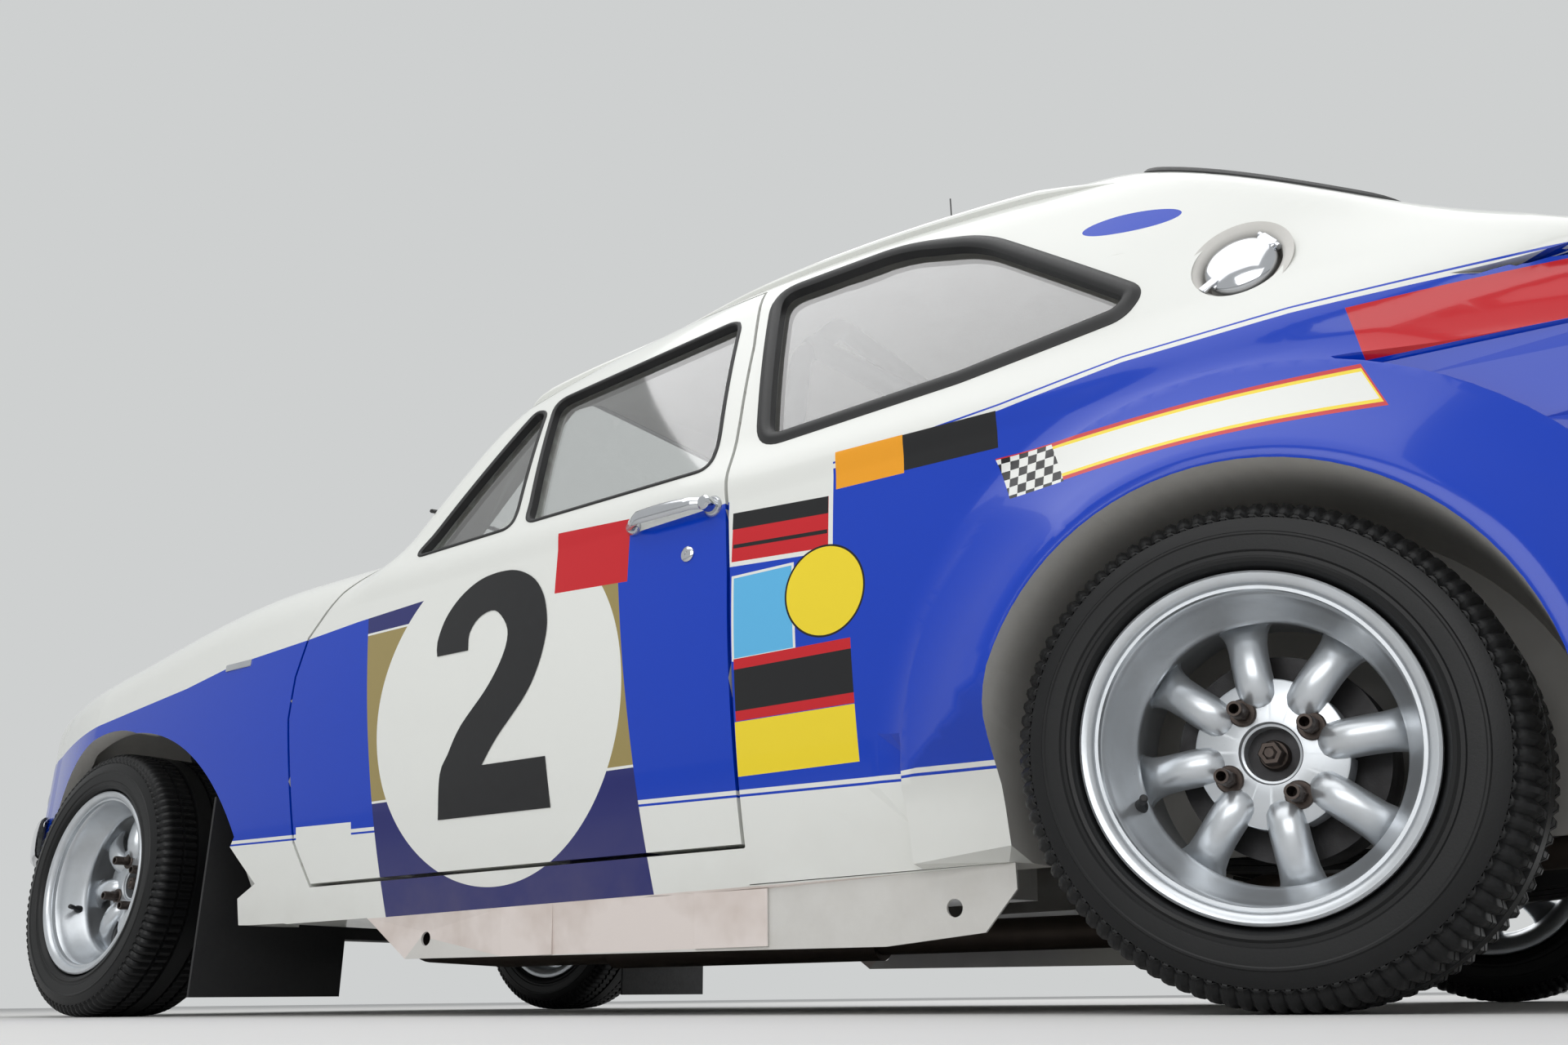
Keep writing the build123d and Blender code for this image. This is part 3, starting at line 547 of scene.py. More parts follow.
def panel(y0, y1, z0, z1, lean=0.0, slope=0.0):
    """A four-sided panel: lean tips its ends, and slope its top and bottom."""
    upright_y = y + (z - (z0 + z1) / 2) * lean
    level_z = z - (y - (y0 + y1) / 2) * slope
    return (upright_y > y0) * (upright_y < y1) * (level_z > z0) * (level_z < z1)


def squared(dy, dz):
    """The square of a length across the car's side."""
    return dy * dy + dz * dz


waist = along([(-1845, 520), (-1600, 560), (-1250, 598), (-922, 631), (-762, 656), (-534, 668), (-375, 679),
               (718, 726), (930, 742), (1097, 762), (1300, 764), (1562, 751), (2030, 715)])
hem = 298 - (y - 60) * 0.0158
flank = (side > 575) * (1 - (y < -1500) * (side < 610))
slanted = flank * (y > -269 - (z - 156) * 0.148) * (y < 322 - (z - 156) * 0.116)
field = slanted * (z < waist) * (z > 120)
roundel = flank * (squared(y + 5, z - 475) < 285 * 285) * (z > 182)
disc = squared(y - 650, z - 546)
check_y = livery.math("MODULO", y - 900, 26) < 13
check_z = livery.math("MODULO", z + (y - 1150) * 0.01, 26) < 13
banner_end = flank * panel(930, 1010, 608, 672, 0.35, -0.01)
oval = squared((y - 1101) / 70, (z - 1013 + (y - 1101) * 0.16) / 18)
shapes = [
    (flank * (z < waist) * (z > hem), blue),
    (flank * (z < hem - 6) * (z > hem - 9.5) * (abs(y - 30) < 2200), blue),
    (flank * (z > waist + 7) * (z < waist + 10) * (y > 500), blue),
    (field, navy),
    (field * (z > 342) * (z < 650), white),
    (field * (z > 346) * (z < 646), gold),
    (roundel, white),
]
shapes += [(flank * panel(*edges), colour) for *edges, colour in (
    (-508, -352, 222, 318, 0.02, -0.02, white),
    (129, 286, 634, 738, 0.0, -0.06, red),
    (482, 667, 606, 750, -0.02, -0.07, white),
    (490, 659, 613, 690, -0.02, -0.07, red),
    (492, 657, 634, 640, -0.02, -0.07, black),
    (490, 659, 664, 690, -0.02, -0.07, black),
    (672, 923, 692, 745, 0.0, -0.02, black),
    (672, 782, 690, 747, 0.0, -0.02, orange),
    (490, 600, 470, 597, 0.0, 0.0, white),
    (494, 596, 474, 593, 0.0, 0.0, pale_blue),
    (493, 689, 385, 473, 0.0, 0.0, red),
    (493, 689, 399, 458, 0.0, 0.0, black),
    (491, 689, 309, 384, 0.0, 0.0, yellow),
    (1367, 1860, 672, 742, 0.16, -0.03, red),
)]
shapes += [(flank * (disc < radius * radius) * (z > 474), colour)
           for radius, colour in ((66, black), (63, yellow))]
shapes += [(flank * panel(*edges, 0.35, -0.01), colour) for *edges, colour in (
    (930, 1378, 608, 672, red), (932, 1376, 614, 666, yellow), (934, 1374, 619, 661, white))]
shapes += [(banner_end, white), (banner_end * abs(check_y - check_z), black)]
shapes += [((side > 560) * (oval < size), colour) for size, colour in ((1.12, white), (1.0, blue))]
painted = white
for mask, colour in shapes:
    painted = livery.mix(mask, painted, colour)
dust = livery.noise(6, 4, 0.6)
grime = (1 - (z - 120) / 160).cut(0, 1) * (dust - 0.35).cut(0, 1) * 0.5
painted = livery.mix(grime, painted, tone(150, 138, 120))
below = (z < 152 + (y + 600) * 0.0108) * (side > 640)
worn = livery.mix((dust - 0.42).cut(0, 1) * 2.2, tone(222, 212, 206), tone(178, 160, 148))
painted = livery.mix(below, painted, worn)
peel = livery.noise(420, 2)
livery.surface(
    Base_Color=painted, Roughness=0.16 + grime * 0.4 + dust * 0.05, Normal=livery.bump(peel, 0.00004, 0.35),
    Coat_Weight=0.3, Coat_Roughness=0.04, Specular_IOR_Level=0.3,
)

# Cabin side of the panels and the space under them: the same steel in satin white paint, which is
# thinner and dustier there
inner_white = Paint("inner_paint")
mottle = inner_white.noise(14, 5, 0.6)
inner_colour = inner_white.mix((mottle - 0.4).cut(0, 1) * 0.9, tone(205, 203, 198), tone(176, 171, 163))
inner_white.surface(Base_Color=inner_colour, Roughness=0.42 + mottle * 0.2,
                    Normal=inner_white.bump(inner_white.noise(160, 3), 0.0004, 0.3))


def sill_skin(p):
    """The skin down to the lower edge of the sills."""
    return np.where(p[:, 2] > section_at(p[:, 1])[0] - 2, skin_distance(p), 900)


for node in ("roof_and_pillars", "rear_quarters", "tail_panel", "front_wings", "front_panel", "scuttle",
             "bonnet", "boot_lid", "door_left", "door_right"):
    dress(node, node + "_skin", livery.material, inner_white.material,
          high=95 if node == "rear_quarters" else 48)
dress("floor_pan", "floor_pan_skin", livery.material, inner_white.material, sill_skin)

# Windows: curved panes of clear glass, five millimetres thick. They are seen as a faint tint with the
# sky on them, and sit in rubbers twelve millimetres under the skin.
glazing = Paint("window_glass")
see_through = glazing.node("ShaderNodeBsdfTransparent", None, {0: (0.965, 0.975, 0.97, 1)})
smear = glazing.noise(9, 4)
sheen = glazing.node("ShaderNodeBsdfPrincipled", None,
                     {"Base Color": (0.93, 0.92, 0.93, 1), "Metallic": 1.0, "Roughness": 0.02 + smear * 0.05})
angle = glazing.node("ShaderNodeLayerWeight", None, {0: 0.4}, output=1)
glass_mix = glazing.node("ShaderNodeMixShader", None, {0: angle * 0.4 + 0.03, 1: see_through, 2: sheen})
glass_end = glazing.tree.nodes.new("ShaderNodeOutputMaterial")
glazing.tree.links.new(glass_mix.socket, glass_end.inputs[0])


def cabin_skin(p):
    """The skin of the glasshouse alone."""
    return cabin_distance(*p.T)


for node in ("fixed_glass", "door_glass_left", "door_glass_right"):
    dress(node, node + "_pane", glazing.material, glazing.material, cabin_skin, (12.0, 17.0),
          60, -2.4, 2.4)


# Window rubbers and the roof gutter: extruded black rubbers round the panes, and a folded steel strip
# along each side of the roof. All are strips of one cross-section that follow the skin.


def press_along(p, way, distance, depth=0.0, rounds=6):
    """Moves points onto a surface along one direction."""
    way = np.asarray(way, float)
    for _ in range(rounds):
        slope = (distance(p + way) - distance(p - way)) / 2
        p = p - ((distance(p) + depth) / np.where(np.abs(slope) < 0.2, 0.2, slope))[:, None] * way
    return p


def rounded(corners, radius, spacing=22):
    """Points along a closed outline, rounder where it turns less."""
    bends = []
    count = len(corners)
    for i in range(count):
        before, here, after = (np.array(corners[(i + k) % count], float) for k in (-1, 0, 1))
        a, b = before - here, after - here
        la, lb = np.linalg.norm(a), np.linalg.norm(b)
        a, b = a / la, b / lb
        half = math.acos(max(-1, min(1, a @ b))) / 2
        turn_radius = min(radius + 5 / max(1 / math.sin(half) - 1, 0.01), 260)
        cut = min(turn_radius / math.tan(half), la * 0.45, lb * 0.45)
        bends.append([(1 - t) ** 2 * (here + a * cut) + 2 * t * (1 - t) * here + t * t * (here + b * cut)
                      for t in np.linspace(0, 1, 9)])
    points = []
    for bend, following in zip(bends, bends[1:] + bends[:1]):
        points += bend
        steps = int(np.linalg.norm(following[0] - bend[-1]) / spacing)
        points += [bend[-1] + (following[0] - bend[-1]) * k / (steps + 1) for k in range(1, steps + 1)]
    return np.array(points)


def smooth_line(points, spacing=18):
    """A smooth line through a few points."""
    points = np.array(points, float)
    padded = np.vstack([2 * points[0] - points[1], points, 2 * points[-1] - points[-2]])
    out = []
    for a, b, c, d in zip(padded[:-3], padded[1:-2], padded[2:-1], padded[3:]):
        steps = max(2, int(np.linalg.norm(c - b) / spacing))
        for t in np.arange(steps) / steps:
            out.append(0.5 * (2 * b + (c - a) * t + (2 * a - 5 * b + 4 * c - d) * t ** 2
                              + (3 * b - a - 3 * c + d) * t ** 3))
    return np.array(out + [points[-1]])


def build(name, points, faces, material, body, slot, replaced=(), crease=35, levels=0):
    """A mesh piece from points in millimetres."""
    mesh = bpy.data.meshes.new(name)
    mesh.from_pydata(to_row(np.asarray(points, float)).tolist(), [], faces)
    return finish_piece(name, mesh, material, body, replaced, crease, levels)


def finish_piece(name, mesh, material, body, replaced=(), crease=35, levels=0):
    bm = bmesh.new()
    bm.from_mesh(mesh)
    bmesh.ops.remove_doubles(bm, verts=bm.verts, dist=1e-6)
    bmesh.ops.recalc_face_normals(bm, faces=bm.faces)
    bm.to_mesh(mesh)
    bm.free()
    mesh.polygons.foreach_set("use_smooth", [True] * len(mesh.polygons))
    mesh.set_sharp_from_angle(angle=math.radians(crease))
    mesh.materials.clear()
    mesh.materials.append(material)
    piece = bpy.data.objects.new(name, mesh)
    scene.collection.objects.link(piece)
    if levels:
        smooth = piece.modifiers.new("smooth", "SUBSURF")
        smooth.levels = levels
        smooth.render_levels = levels
    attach(piece, body)
    if replaced:
        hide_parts(*replaced)
    return piece


def strip(centre, outwards, section, closed=False):
    """Points and faces of a strip; section points are (across, out) in millimetres."""
    centre, outwards = np.asarray(centre, float), np.asarray(outwards, float)
    if closed:
        along_line = np.roll(centre, -1, axis=0) - np.roll(centre, 1, axis=0)
    else:
        along_line = np.gradient(centre, axis=0)
    along_line /= np.linalg.norm(along_line, axis=1)[:, None]
    out = outwards - (outwards * along_line).sum(1)[:, None] * along_line
    out /= np.linalg.norm(out, axis=1)[:, None]
    sideways = np.cross(out, along_line)
    section = np.asarray(section, float)
    across, rise = section[None, :, :1], section[None, :, 1:2]
    rings = centre[:, None, :] + sideways[:, None, :] * across + out[:, None, :] * rise
    n, m = len(centre), len(section)
    faces = []
    for i in range(n if closed else n - 1):
        j = (i + 1) % n
        faces += [(i * m + k, i * m + (k + 1) % m, j * m + (k + 1) % m, j * m + k) for k in range(m)]
    if not closed:
        faces += [tuple(range(m)), tuple((n - 1) * m + k for k in reversed(range(m)))]
    return rings.reshape(-1, 3), faces


def joined(parts):
    """Several sets of points and faces as one."""
    points, faces, start = [], [], 0
    for more, more_faces in parts:
        points.append(np.asarray(more, float))
        faces += [tuple(k + start for k in face) for face in more_faces]
        start += len(more)
    return np.vstack(points), faces


def flipped(section, sign):
    """A strip's cross-section, turned over for the right side of the car."""
    return [(sign * a, b) for a, b in section]


def side_strip(outline, sign, section, closed=True):
    """A strip along an outline that is drawn on the car's side."""
    start = np.array([(sign * 700.0, y_, z_) for y_, z_ in outline])
    centre = press_along(start, (sign, 0, 0), skin_distance)
    return strip(centre, slope_of(skin_distance, centre), section, closed)


def screen_strip(outline, radius, foot, slope, sign):
    """The rubber of a leaning window, whose outline is drawn on it from its foot."""
    cos, sin = math.cos(slope), math.sin(slope)
    up = np.array((0, -sign * cos, sin))
    way = np.array((0, sign * sin, cos))
    start = np.array([(u, 0, 0) + up * v + (0, *foot) for u, v in rounded(outline, radius)])
    centre = press_along(reshaped(start), way, skin_distance)
    return strip(centre, slope_of(skin_distance, centre), wide_rubber, True)


rubber = Paint("window_rubber")
rubber_grain = rubber.noise(300, 3)
rubber.grained(rubber_grain * 0.5, (22, 22, 23), (40, 40, 41), 0.42 + rubber_grain * 0.2, rubber_grain,
               0.0002, 0.4)
quarterlight = [(-252, 780), (-58, 1060), (-26, 1048), (0, 785)]
door_pane = [(30, 785), (-12, 1068), (408, 1112), (436, 842), (432, 787)]
quarter_pane = [(524, 806), (470, 1148), (720, 1146), (868, 1092), (1114, 878), (1092, 846), (860, 820)]
wide_rubber = [(-15, -13), (-15, 1), (-11, 5), (-4, 7), (2, 5.5), (6, 2.5), (10, 1), (11, -2), (8, -4),
               (3, -13)]
thin_rubber = [(-5, -14), (-5, 0), (-3, 2), (1, 2.5), (3, 1), (3, -14)]
both_sides = (("left", 1), ("right", -1))
for name, sign in both_sides:
    wide, thin = flipped(wide_rubber, sign), flipped(thin_rubber, sign)
    points, faces = side_strip(rounded(quarter_pane, 34), sign, wide)
    build("quarter_rubber_" + name, points, faces, rubber.material, "shell", "black_plastic")
    points, faces = joined([side_strip(rounded(door_pane, 20), sign, thin),
                            side_strip(rounded(quarterlight, 12), sign, thin)])
    build("door_rubber_" + name, points, faces, rubber.material, "door_" + name, "black_plastic")
screens = joined([
    screen_strip([(-600, 75), (600, 75), (520, 490), (-520, 490)], 62, screen_foot, screen_slope, -1),
    screen_strip([(560, 40), (-560, 40), (-490, 440), (490, 440)], 46, back_foot, back_slope, 1),
])
build("screen_rubbers", *screens, rubber.material, "shell", "black_plastic")
gutter_line = smooth_line([(-385, 800), (-331, 880), (-243, 1013), (-164, 1081), (-73, 1126), (57, 1177),
                           (181, 1204), (300, 1211), (463, 1204), (681, 1190), (784, 1178), (926, 1157),
                           (1050, 1128), (1105, 1106)])
gutter_section = [(-5, -3), (-5, 8), (-2, 11), (5, 12), (6, 9), (-1, 7), (-1, -3)]
tapered_rings = 9
gutter_parts = []
for _, sign in both_sides:
    points, faces = side_strip(gutter_line, sign, flipped(gutter_section, sign), closed=False)
    rings = np.asarray(points, float).reshape(-1, len(gutter_section), 3)
    base = (rings[:, :1] + rings[:, -1:]) / 2
    from_end = np.minimum(np.arange(len(rings)), np.arange(len(rings))[::-1])[:, None, None]
    rings = base + (rings - base) * np.clip(from_end / tapered_rings, 0.05, 1)
    gutter_parts.append((rings.reshape(-1, 3), faces))
build("roof_gutters", *joined(gutter_parts), livery.material, "shell", "body_paint")

# Corner plates: small pieces of painted sheet welded in behind the ends of the bumpers, where the wings
# meet the nose and where the rear quarters meet the tail.


def corner_plate(corners, way, steps=8, under=1.2, thick=2.0):
    """A thin sheet that lies just under the skin between four corners, given as points ahead of it."""
    a, b, c, d = np.array(corners, float)
    row = steps + 1
    along_edge = np.linspace(0, 1, row)
    grid = np.array([(a * (1 - u) + b * u) * (1 - v) + (d * (1 - u) + c * u) * v
                     for v in along_edge for u in along_edge])
    points = np.vstack([press_along(grid, way, skin_distance, depth) for depth in (under, under + thick)])
    cells = [(i * row + j, i * row + j + 1, (i + 1) * row + j + 1, (i + 1) * row + j)
             for i in range(steps) for j in range(steps)]
    last = row * row - 1
    edge = [*range(steps), *range(steps, last, row), *range(last, last - steps, -1),
            *range(last - steps, 0, -row)]
    faces = cells + [tuple(k + row * row for k in reversed(cell)) for cell in cells]
    faces += [(near, far, far + row * row, near + row * row) for near, far in zip(edge, edge[1:] + edge[:1])]
    return points, faces


front_corner = ((540, -1800, 222), (650, -1720, 212), (650, -1720, 314), (540, -1800, 314))
rear_corner = ((740, 1768, 216), (710, 1862, 216), (740, 1766, 352), (740, 1684, 352))
plates = []
for _, sign in both_sides:
    plates.append(corner_plate([(sign * x_, y_, z_) for x_, y_, z_ in front_corner], (0, 1, 0)))
    plates.append(corner_plate([(sign * x_, y_, z_) for x_, y_, z_ in rear_corner], (1, 0, 0)))
build("corner_plates", *joined(plates), livery.material, "shell", "body_paint")

# Race number: a plain black 2 in thin vinyl, one on each door. It is cut flat and follows the door's
# skin, a millimetre proud of it.
digit = [(-127, 301), (130, 299), (121, 378), (-22, 379)]
inner_bend = [(-22, 379), (11, 418), (75, 479), (104, 527), (117, 577), (114, 615), (101, 649), (74, 679),
              (26, 700), (-40, 700), (-92, 679), (-129, 644), (-146, 602), (-143, 576)]
outer_bend = [(-66, 575), (-66, 605), (-45, 629), (-8, 635), (22, 606), (27, 577), (13, 541), (-18, 500),
              (-75, 447), (-104, 404), (-122, 374), (-127, 301)]
digit += [tuple(q) for q in smooth_line(inner_bend, 9)[1:]]
digit += [(-66, 575)]
digit += [tuple(q) for q in smooth_line(outer_bend, 9)[1:-1]]
vinyl = Paint("number_vinyl")
vinyl_wear = vinyl.noise(60, 4)
vinyl.grained(vinyl_wear * 0.4, (17, 17, 19), (30, 30, 33), 0.2 + vinyl_wear * 0.1, vinyl_wear, 0.00003, 0.4)
dot_spacing, edge_room = 12.0, 7
for name, sign in both_sides:
    outline = [(y_ if sign > 0 else -16 - y_, z_) for y_, z_ in digit]
    dots = [Vector(q) for q in outline]
    ring = np.array(outline, float)
    ahead = np.roll(ring, -1, axis=0)
    for y_ in np.arange(-156, 144, dot_spacing):
        for z_ in np.arange(292, 708, dot_spacing):
            crossing = (ring[:, 1] > z_) != (ahead[:, 1] > z_)
            climb = np.where(crossing, ahead[:, 1] - ring[:, 1], 1)
            cut_y = ring[:, 0] + (z_ - ring[:, 1]) / climb * (ahead[:, 0] - ring[:, 0])
            clear = np.hypot(ring[:, 0] - y_, ring[:, 1] - z_).min() > edge_room
            if (crossing & (cut_y > y_)).sum() % 2 and clear:
                dots.append(Vector((y_, z_)))
    edges = [(k, (k + 1) % len(outline)) for k in range(len(outline))]
    made = delaunay_2d_cdt(dots, edges, [], 1, 0.01)
    mesh = bpy.data.meshes.new("race_number_" + name)
    mesh.from_pydata([(sign * 0.78, (q.x + middle) / 1000, q.y / 1000) for q in made[0]], [], made[2])
    p = press_along(to_sheet(values_of(mesh.vertices, "co")), (sign, 0, 0), skin_distance, -1.1)
    mesh.vertices.foreach_set("co", to_row(p).ravel())
    mesh.update()
    out = slope_of(skin_distance, p)
    out /= np.linalg.norm(out, axis=1)[:, None]
    corner = np.array([f.vertices[0] for f in mesh.polygons])
    if (values_of(mesh.polygons, "normal") * out[corner]).sum() < 0:
        mesh.flip_normals()
        mesh.update()
    shaded(mesh, np.ones(len(mesh.polygons), bool), out)
    mesh.materials.append(vinyl.material)
    number = bpy.data.objects.new("race_number_" + name, mesh)
    scene.collection.objects.link(number)
    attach(number, "door_" + name)

# Wheels: cast alloy with a deep dish and eight round-topped spokes. Each is drawn about its own hub,
# with x out of the car, and then set in its place.


def lathe(profile, steps, wave=None):
    """A closed profile of (x, radius) turned about the axle."""
    points, faces = [], []
    m = len(profile)
    for i in range(steps):
        turn_angle = 2 * math.pi * i / steps
        for x_, r_ in profile:
            if wave:
                x_, r_ = wave(x_, r_, turn_angle, i)
            points.append((x_, r_ * math.cos(turn_angle), r_ * math.sin(turn_angle)))
        j = (i + 1) % steps
        faces += [(i * m + k, i * m + (k + 1) % m, j * m + (k + 1) % m, j * m + k) for k in range(m)]
    return np.array(points), faces


def loft(rings):
    """A closed skin over rings of points, with its ends closed."""
    n, m = len(rings), len(rings[0])
    faces = [(i * m + k, i * m + (k + 1) % m, (i + 1) * m + (k + 1) % m, (i + 1) * m + k)
             for i in range(n - 1) for k in range(m)]
    faces += [tuple(range(m)), tuple((n - 1) * m + k for k in reversed(range(m)))]
    return np.vstack(rings), faces


def raw_mesh(name, points, faces):
    mesh = bpy.data.meshes.new(name)
    mesh.from_pydata((np.asarray(points, float) / 1000).tolist(), [], faces)
    return mesh


def repeat_tree():
    """Geometry Nodes that repeat one piece, each copy turned and moved a step further."""
    tree = bpy.data.node_groups.new("repeat_piece", "GeometryNodeTree")
    tree.is_modifier = True
    for label, kind in (("Geometry", "Geometry"), ("Piece", "Object"), ("Count", "Int"), ("Turn", "Vector"),
                        ("Step", "Vector"), ("Finish", "Material")):
        tree.interface.new_socket(label, in_out="INPUT", socket_type="NodeSocket" + kind)
    tree.interface.new_socket("Geometry", in_out="OUTPUT", socket_type="NodeSocketGeometry")
    nodes, links = tree.nodes, tree.links
    given = nodes.new("NodeGroupInput")
    one = nodes.new("GeometryNodeObjectInfo")
    line = nodes.new("GeometryNodeMeshLine")
    index = nodes.new("GeometryNodeInputIndex")
    turn = nodes.new("ShaderNodeVectorMath")
    turn.operation = "SCALE"
    rotation = nodes.new("FunctionNodeEulerToRotation")
    copies = nodes.new("GeometryNodeInstanceOnPoints")
    real = nodes.new("GeometryNodeRealizeInstances")
    finish = nodes.new("GeometryNodeSetMaterial")
    end = nodes.new("NodeGroupOutput")
    links.new(given.outputs["Piece"], one.inputs["Object"])
    links.new(given.outputs["Count"], line.inputs["Count"])
    links.new(given.outputs["Step"], line.inputs["Offset"])
    links.new(given.outputs["Turn"], turn.inputs[0])
    links.new(index.outputs[0], turn.inputs["Scale"])
    links.new(turn.outputs[0], rotation.inputs[0])
    links.new(line.outputs[0], copies.inputs["Points"])
    links.new(one.outputs["Geometry"], copies.inputs["Instance"])
    links.new(rotation.outputs[0], copies.inputs["Rotation"])
    links.new(copies.outputs[0], real.inputs[0])
    links.new(real.outputs[0], finish.inputs[0])
    links.new(given.outputs["Finish"], finish.inputs["Material"])
    links.new(finish.outputs[0], end.inputs[0])
    return tree


repeating = repeat_tree()


def repeated(mesh, count, material, turn=(0, 0, 0), step=(0, 0, 0)):
    """The mesh of a piece repeated by the nodes above."""
    one = bpy.data.objects.new("one_piece", mesh)
    scene.collection.objects.link(one)
    host = bpy.data.objects.new("repeat_host", bpy.data.meshes.new("repeat_host"))
    scene.collection.objects.link(host)
    modifier = host.modifiers.new("repeat", "NODES")
    modifier.node_group = repeating
    values = {"Piece": one, "Count": count, "Turn": turn, "Step": step, "Finish": material}
    for item in repeating.interface.items_tree:
        if item.in_out == "INPUT" and item.name in values:
            modifier[item.identifier] = values[item.name]
    host.update_tag()
    bpy.context.view_layer.update()
    made = bpy.data.meshes.new_from_object(host.evaluated_get(bpy.context.evaluated_depsgraph_get()))
    bpy.data.objects.remove(host)
    bpy.data.objects.remove(one)
    return made


def merged(meshes):
    bm = bmesh.new()
    for mesh in meshes:
        bm.from_mesh(mesh)
    made = bpy.data.meshes.new("merged")
    bm.to_mesh(made)
    bm.free()
    return made


silver = Paint("wheel_silver")
flake = silver.noise(900, 2)
brake_dust = silver.noise(25, 4)
silver.grained((brake_dust - 0.45).cut(0, 1) * 0.8, (204, 208, 212), (164, 164, 162), 0.25 + flake * 0.1,
               flake, 0.00003, 0.3, Metallic=0.75)
spoke_angle = 5
rim_profile = [
    (-92, 182), (-88, 184), (-84, 181), (-83, 166), (-60, 165), (-45, 153), (40, 153), (60, 164), (83, 166),
    (84, 181), (88, 184.5), (92, 184), (94, 181), (93, 176), (90, 172), (85, 170), (81, 169.4), (78, 166.5),
    (74, 163.5), (67, 162), (56, 158), (44, 152.5), (33, 147.5), (28, 144.5), (25, 142.5), (21, 141.6),
    (17, 142.4), (12, 145), (6, 148), (-8, 149.5), (-22, 150), (-62, 150), (-84, 160), (-90, 166),
    (-93, 174),
]
rim_mesh = raw_mesh("rim_barrel", *lathe(rim_profile, 128))
spoke_stations = (
    (46, -4, 12, 10), (49, 3, 23, 16), (55, 10, 34, 25), (64, 16, 41, 32), (76, 20, 43, 36), (90, 21, 43, 38),
    (106, 19, 43, 38), (122, 15, 44, 38), (134, 10, 48, 36), (143, 4, 56, 32), (150, -4, 70, 26),
)
rings = []
for radius, crest, width, depth in spoke_stations:
    ring = []
    for k in range(16):
        a = 2 * math.pi * k / 16
        lift = math.cos(a)
        lift = lift if lift > 0 else lift * 0.6
        ring.append((crest - depth / 2 + depth / 2 * lift, radius, width / 2 * math.sin(a)))
    rings.append(np.array(ring))
spoke = raw_mesh("spoke", *loft(rings))
spoke.transform(Matrix.Rotation(math.radians(spoke_angle), 4, "X"))
spokes = repeated(spoke, 8, silver.material, turn=(math.pi / 4, 0, 0))


def pad_wave(x_, r_, a, i):
    """The hub pad's outline, with a square tooth between every two spokes."""
    dip = math.cos(8 * (a - math.radians(spoke_angle)))
    reach = 60 + 23 * min(1, max(0, (0.1 - dip) / 0.35))
    return x_ - 7, r_ if r_ < 40 else reach + r_ - 67


pad_profile = [(-17, 30), (7, 30), (8, 32.5), (10, 33), (12, 34.5), (12, 64.5), (11, 66.3), (9, 67),
               (-17, 67)]
pad = raw_mesh("hub_pad", *lathe(pad_profile, 240, pad_wave))
alloy = merged([rim_mesh, spokes, pad])

nut_steel = Paint("nut_steel")
nut_grain = nut_steel.noise(200, 3)
nut_steel.grained(nut_grain, (58, 52, 50), (96, 86, 80), 0.32 + nut_grain * 0.25, nut_grain, 0.0002, 0.4,
                  Metallic=0.85)


def polygon(reach, count):
    """The corners of an even polygon."""
    turns = [2 * math.pi * k / count for k in range(count)]
    return [(reach * math.cos(a), reach * math.sin(a)) for a in turns]


def tube_nut(flats, length, bore, base):
    """An open-ended sleeve nut with six flats, standing out along x."""
    end = base + length
    corner = flats / math.sqrt(3)
    stations = ((base, corner), (end - 2, corner), (end, corner * 0.9), (end, bore), (end - 12, bore))
    points = [(x_, a, b) for x_, reach in stations for a, b in polygon(reach, 6)]
    faces = [(6 * n + k, 6 * n + (k + 1) % 6, 6 * n + 6 + (k + 1) % 6, 6 * n + 6 + k)
             for n in range(4) for k in range(6)]
    faces += [tuple(range(24, 30)), tuple(reversed(range(6)))]
    return np.array(points), faces


nut_points, nut_faces = joined([
    tube_nut(17, 13, 6.2, 9),
    lathe([(20, 5.6), (37, 5.6), (37, 8.2), (35, 8.9), (22, 8.9), (20, 8)], 24),
    lathe([(4, 5), (7.5, 5), (8.5, 8), (8.5, 14), (7, 15.5), (4, 15.5)], 32),
])
one_nut = raw_mesh("nut", nut_points + (0, 53, 0), nut_faces)
one_nut.transform(Matrix.Rotation(math.radians(27), 4, "X"))
nuts = repeated(one_nut, 4, nut_steel.material, turn=(math.pi / 2, 0, 0))
hub_points, hub_faces = joined([
    lathe([(-40, 0.1), (-30, 0.1), (-30, 28), (-34, 29.7), (-40, 29.7)], 32),
    lathe([(-30, 0.1), (-8, 0.1), (-8, 15), (-12, 17), (-30, 17)], 32),
    tube_nut(24, 16, 8, -8),
    lathe([(0, 0.1), (11, 0.1), (11, 5), (8, 7), (0, 7)], 16),
])
hub = raw_mesh("hub_nut", hub_points, hub_faces)
valve_profile = [(0, 0.1), (0, 8), (8, 7), (16, 4), (20, 3.6), (21, 4.6), (32, 4.6), (34, 3), (34, 0.1)]
valve = raw_mesh("valve", *lathe(valve_profile, 18))
valve.transform(Matrix.Rotation(math.radians(-28), 4, "Z"))
valve.transform(Matrix.Translation((0.034, 0.149, 0)))
valve.transform(Matrix.Rotation(math.radians(199), 4, "X"))

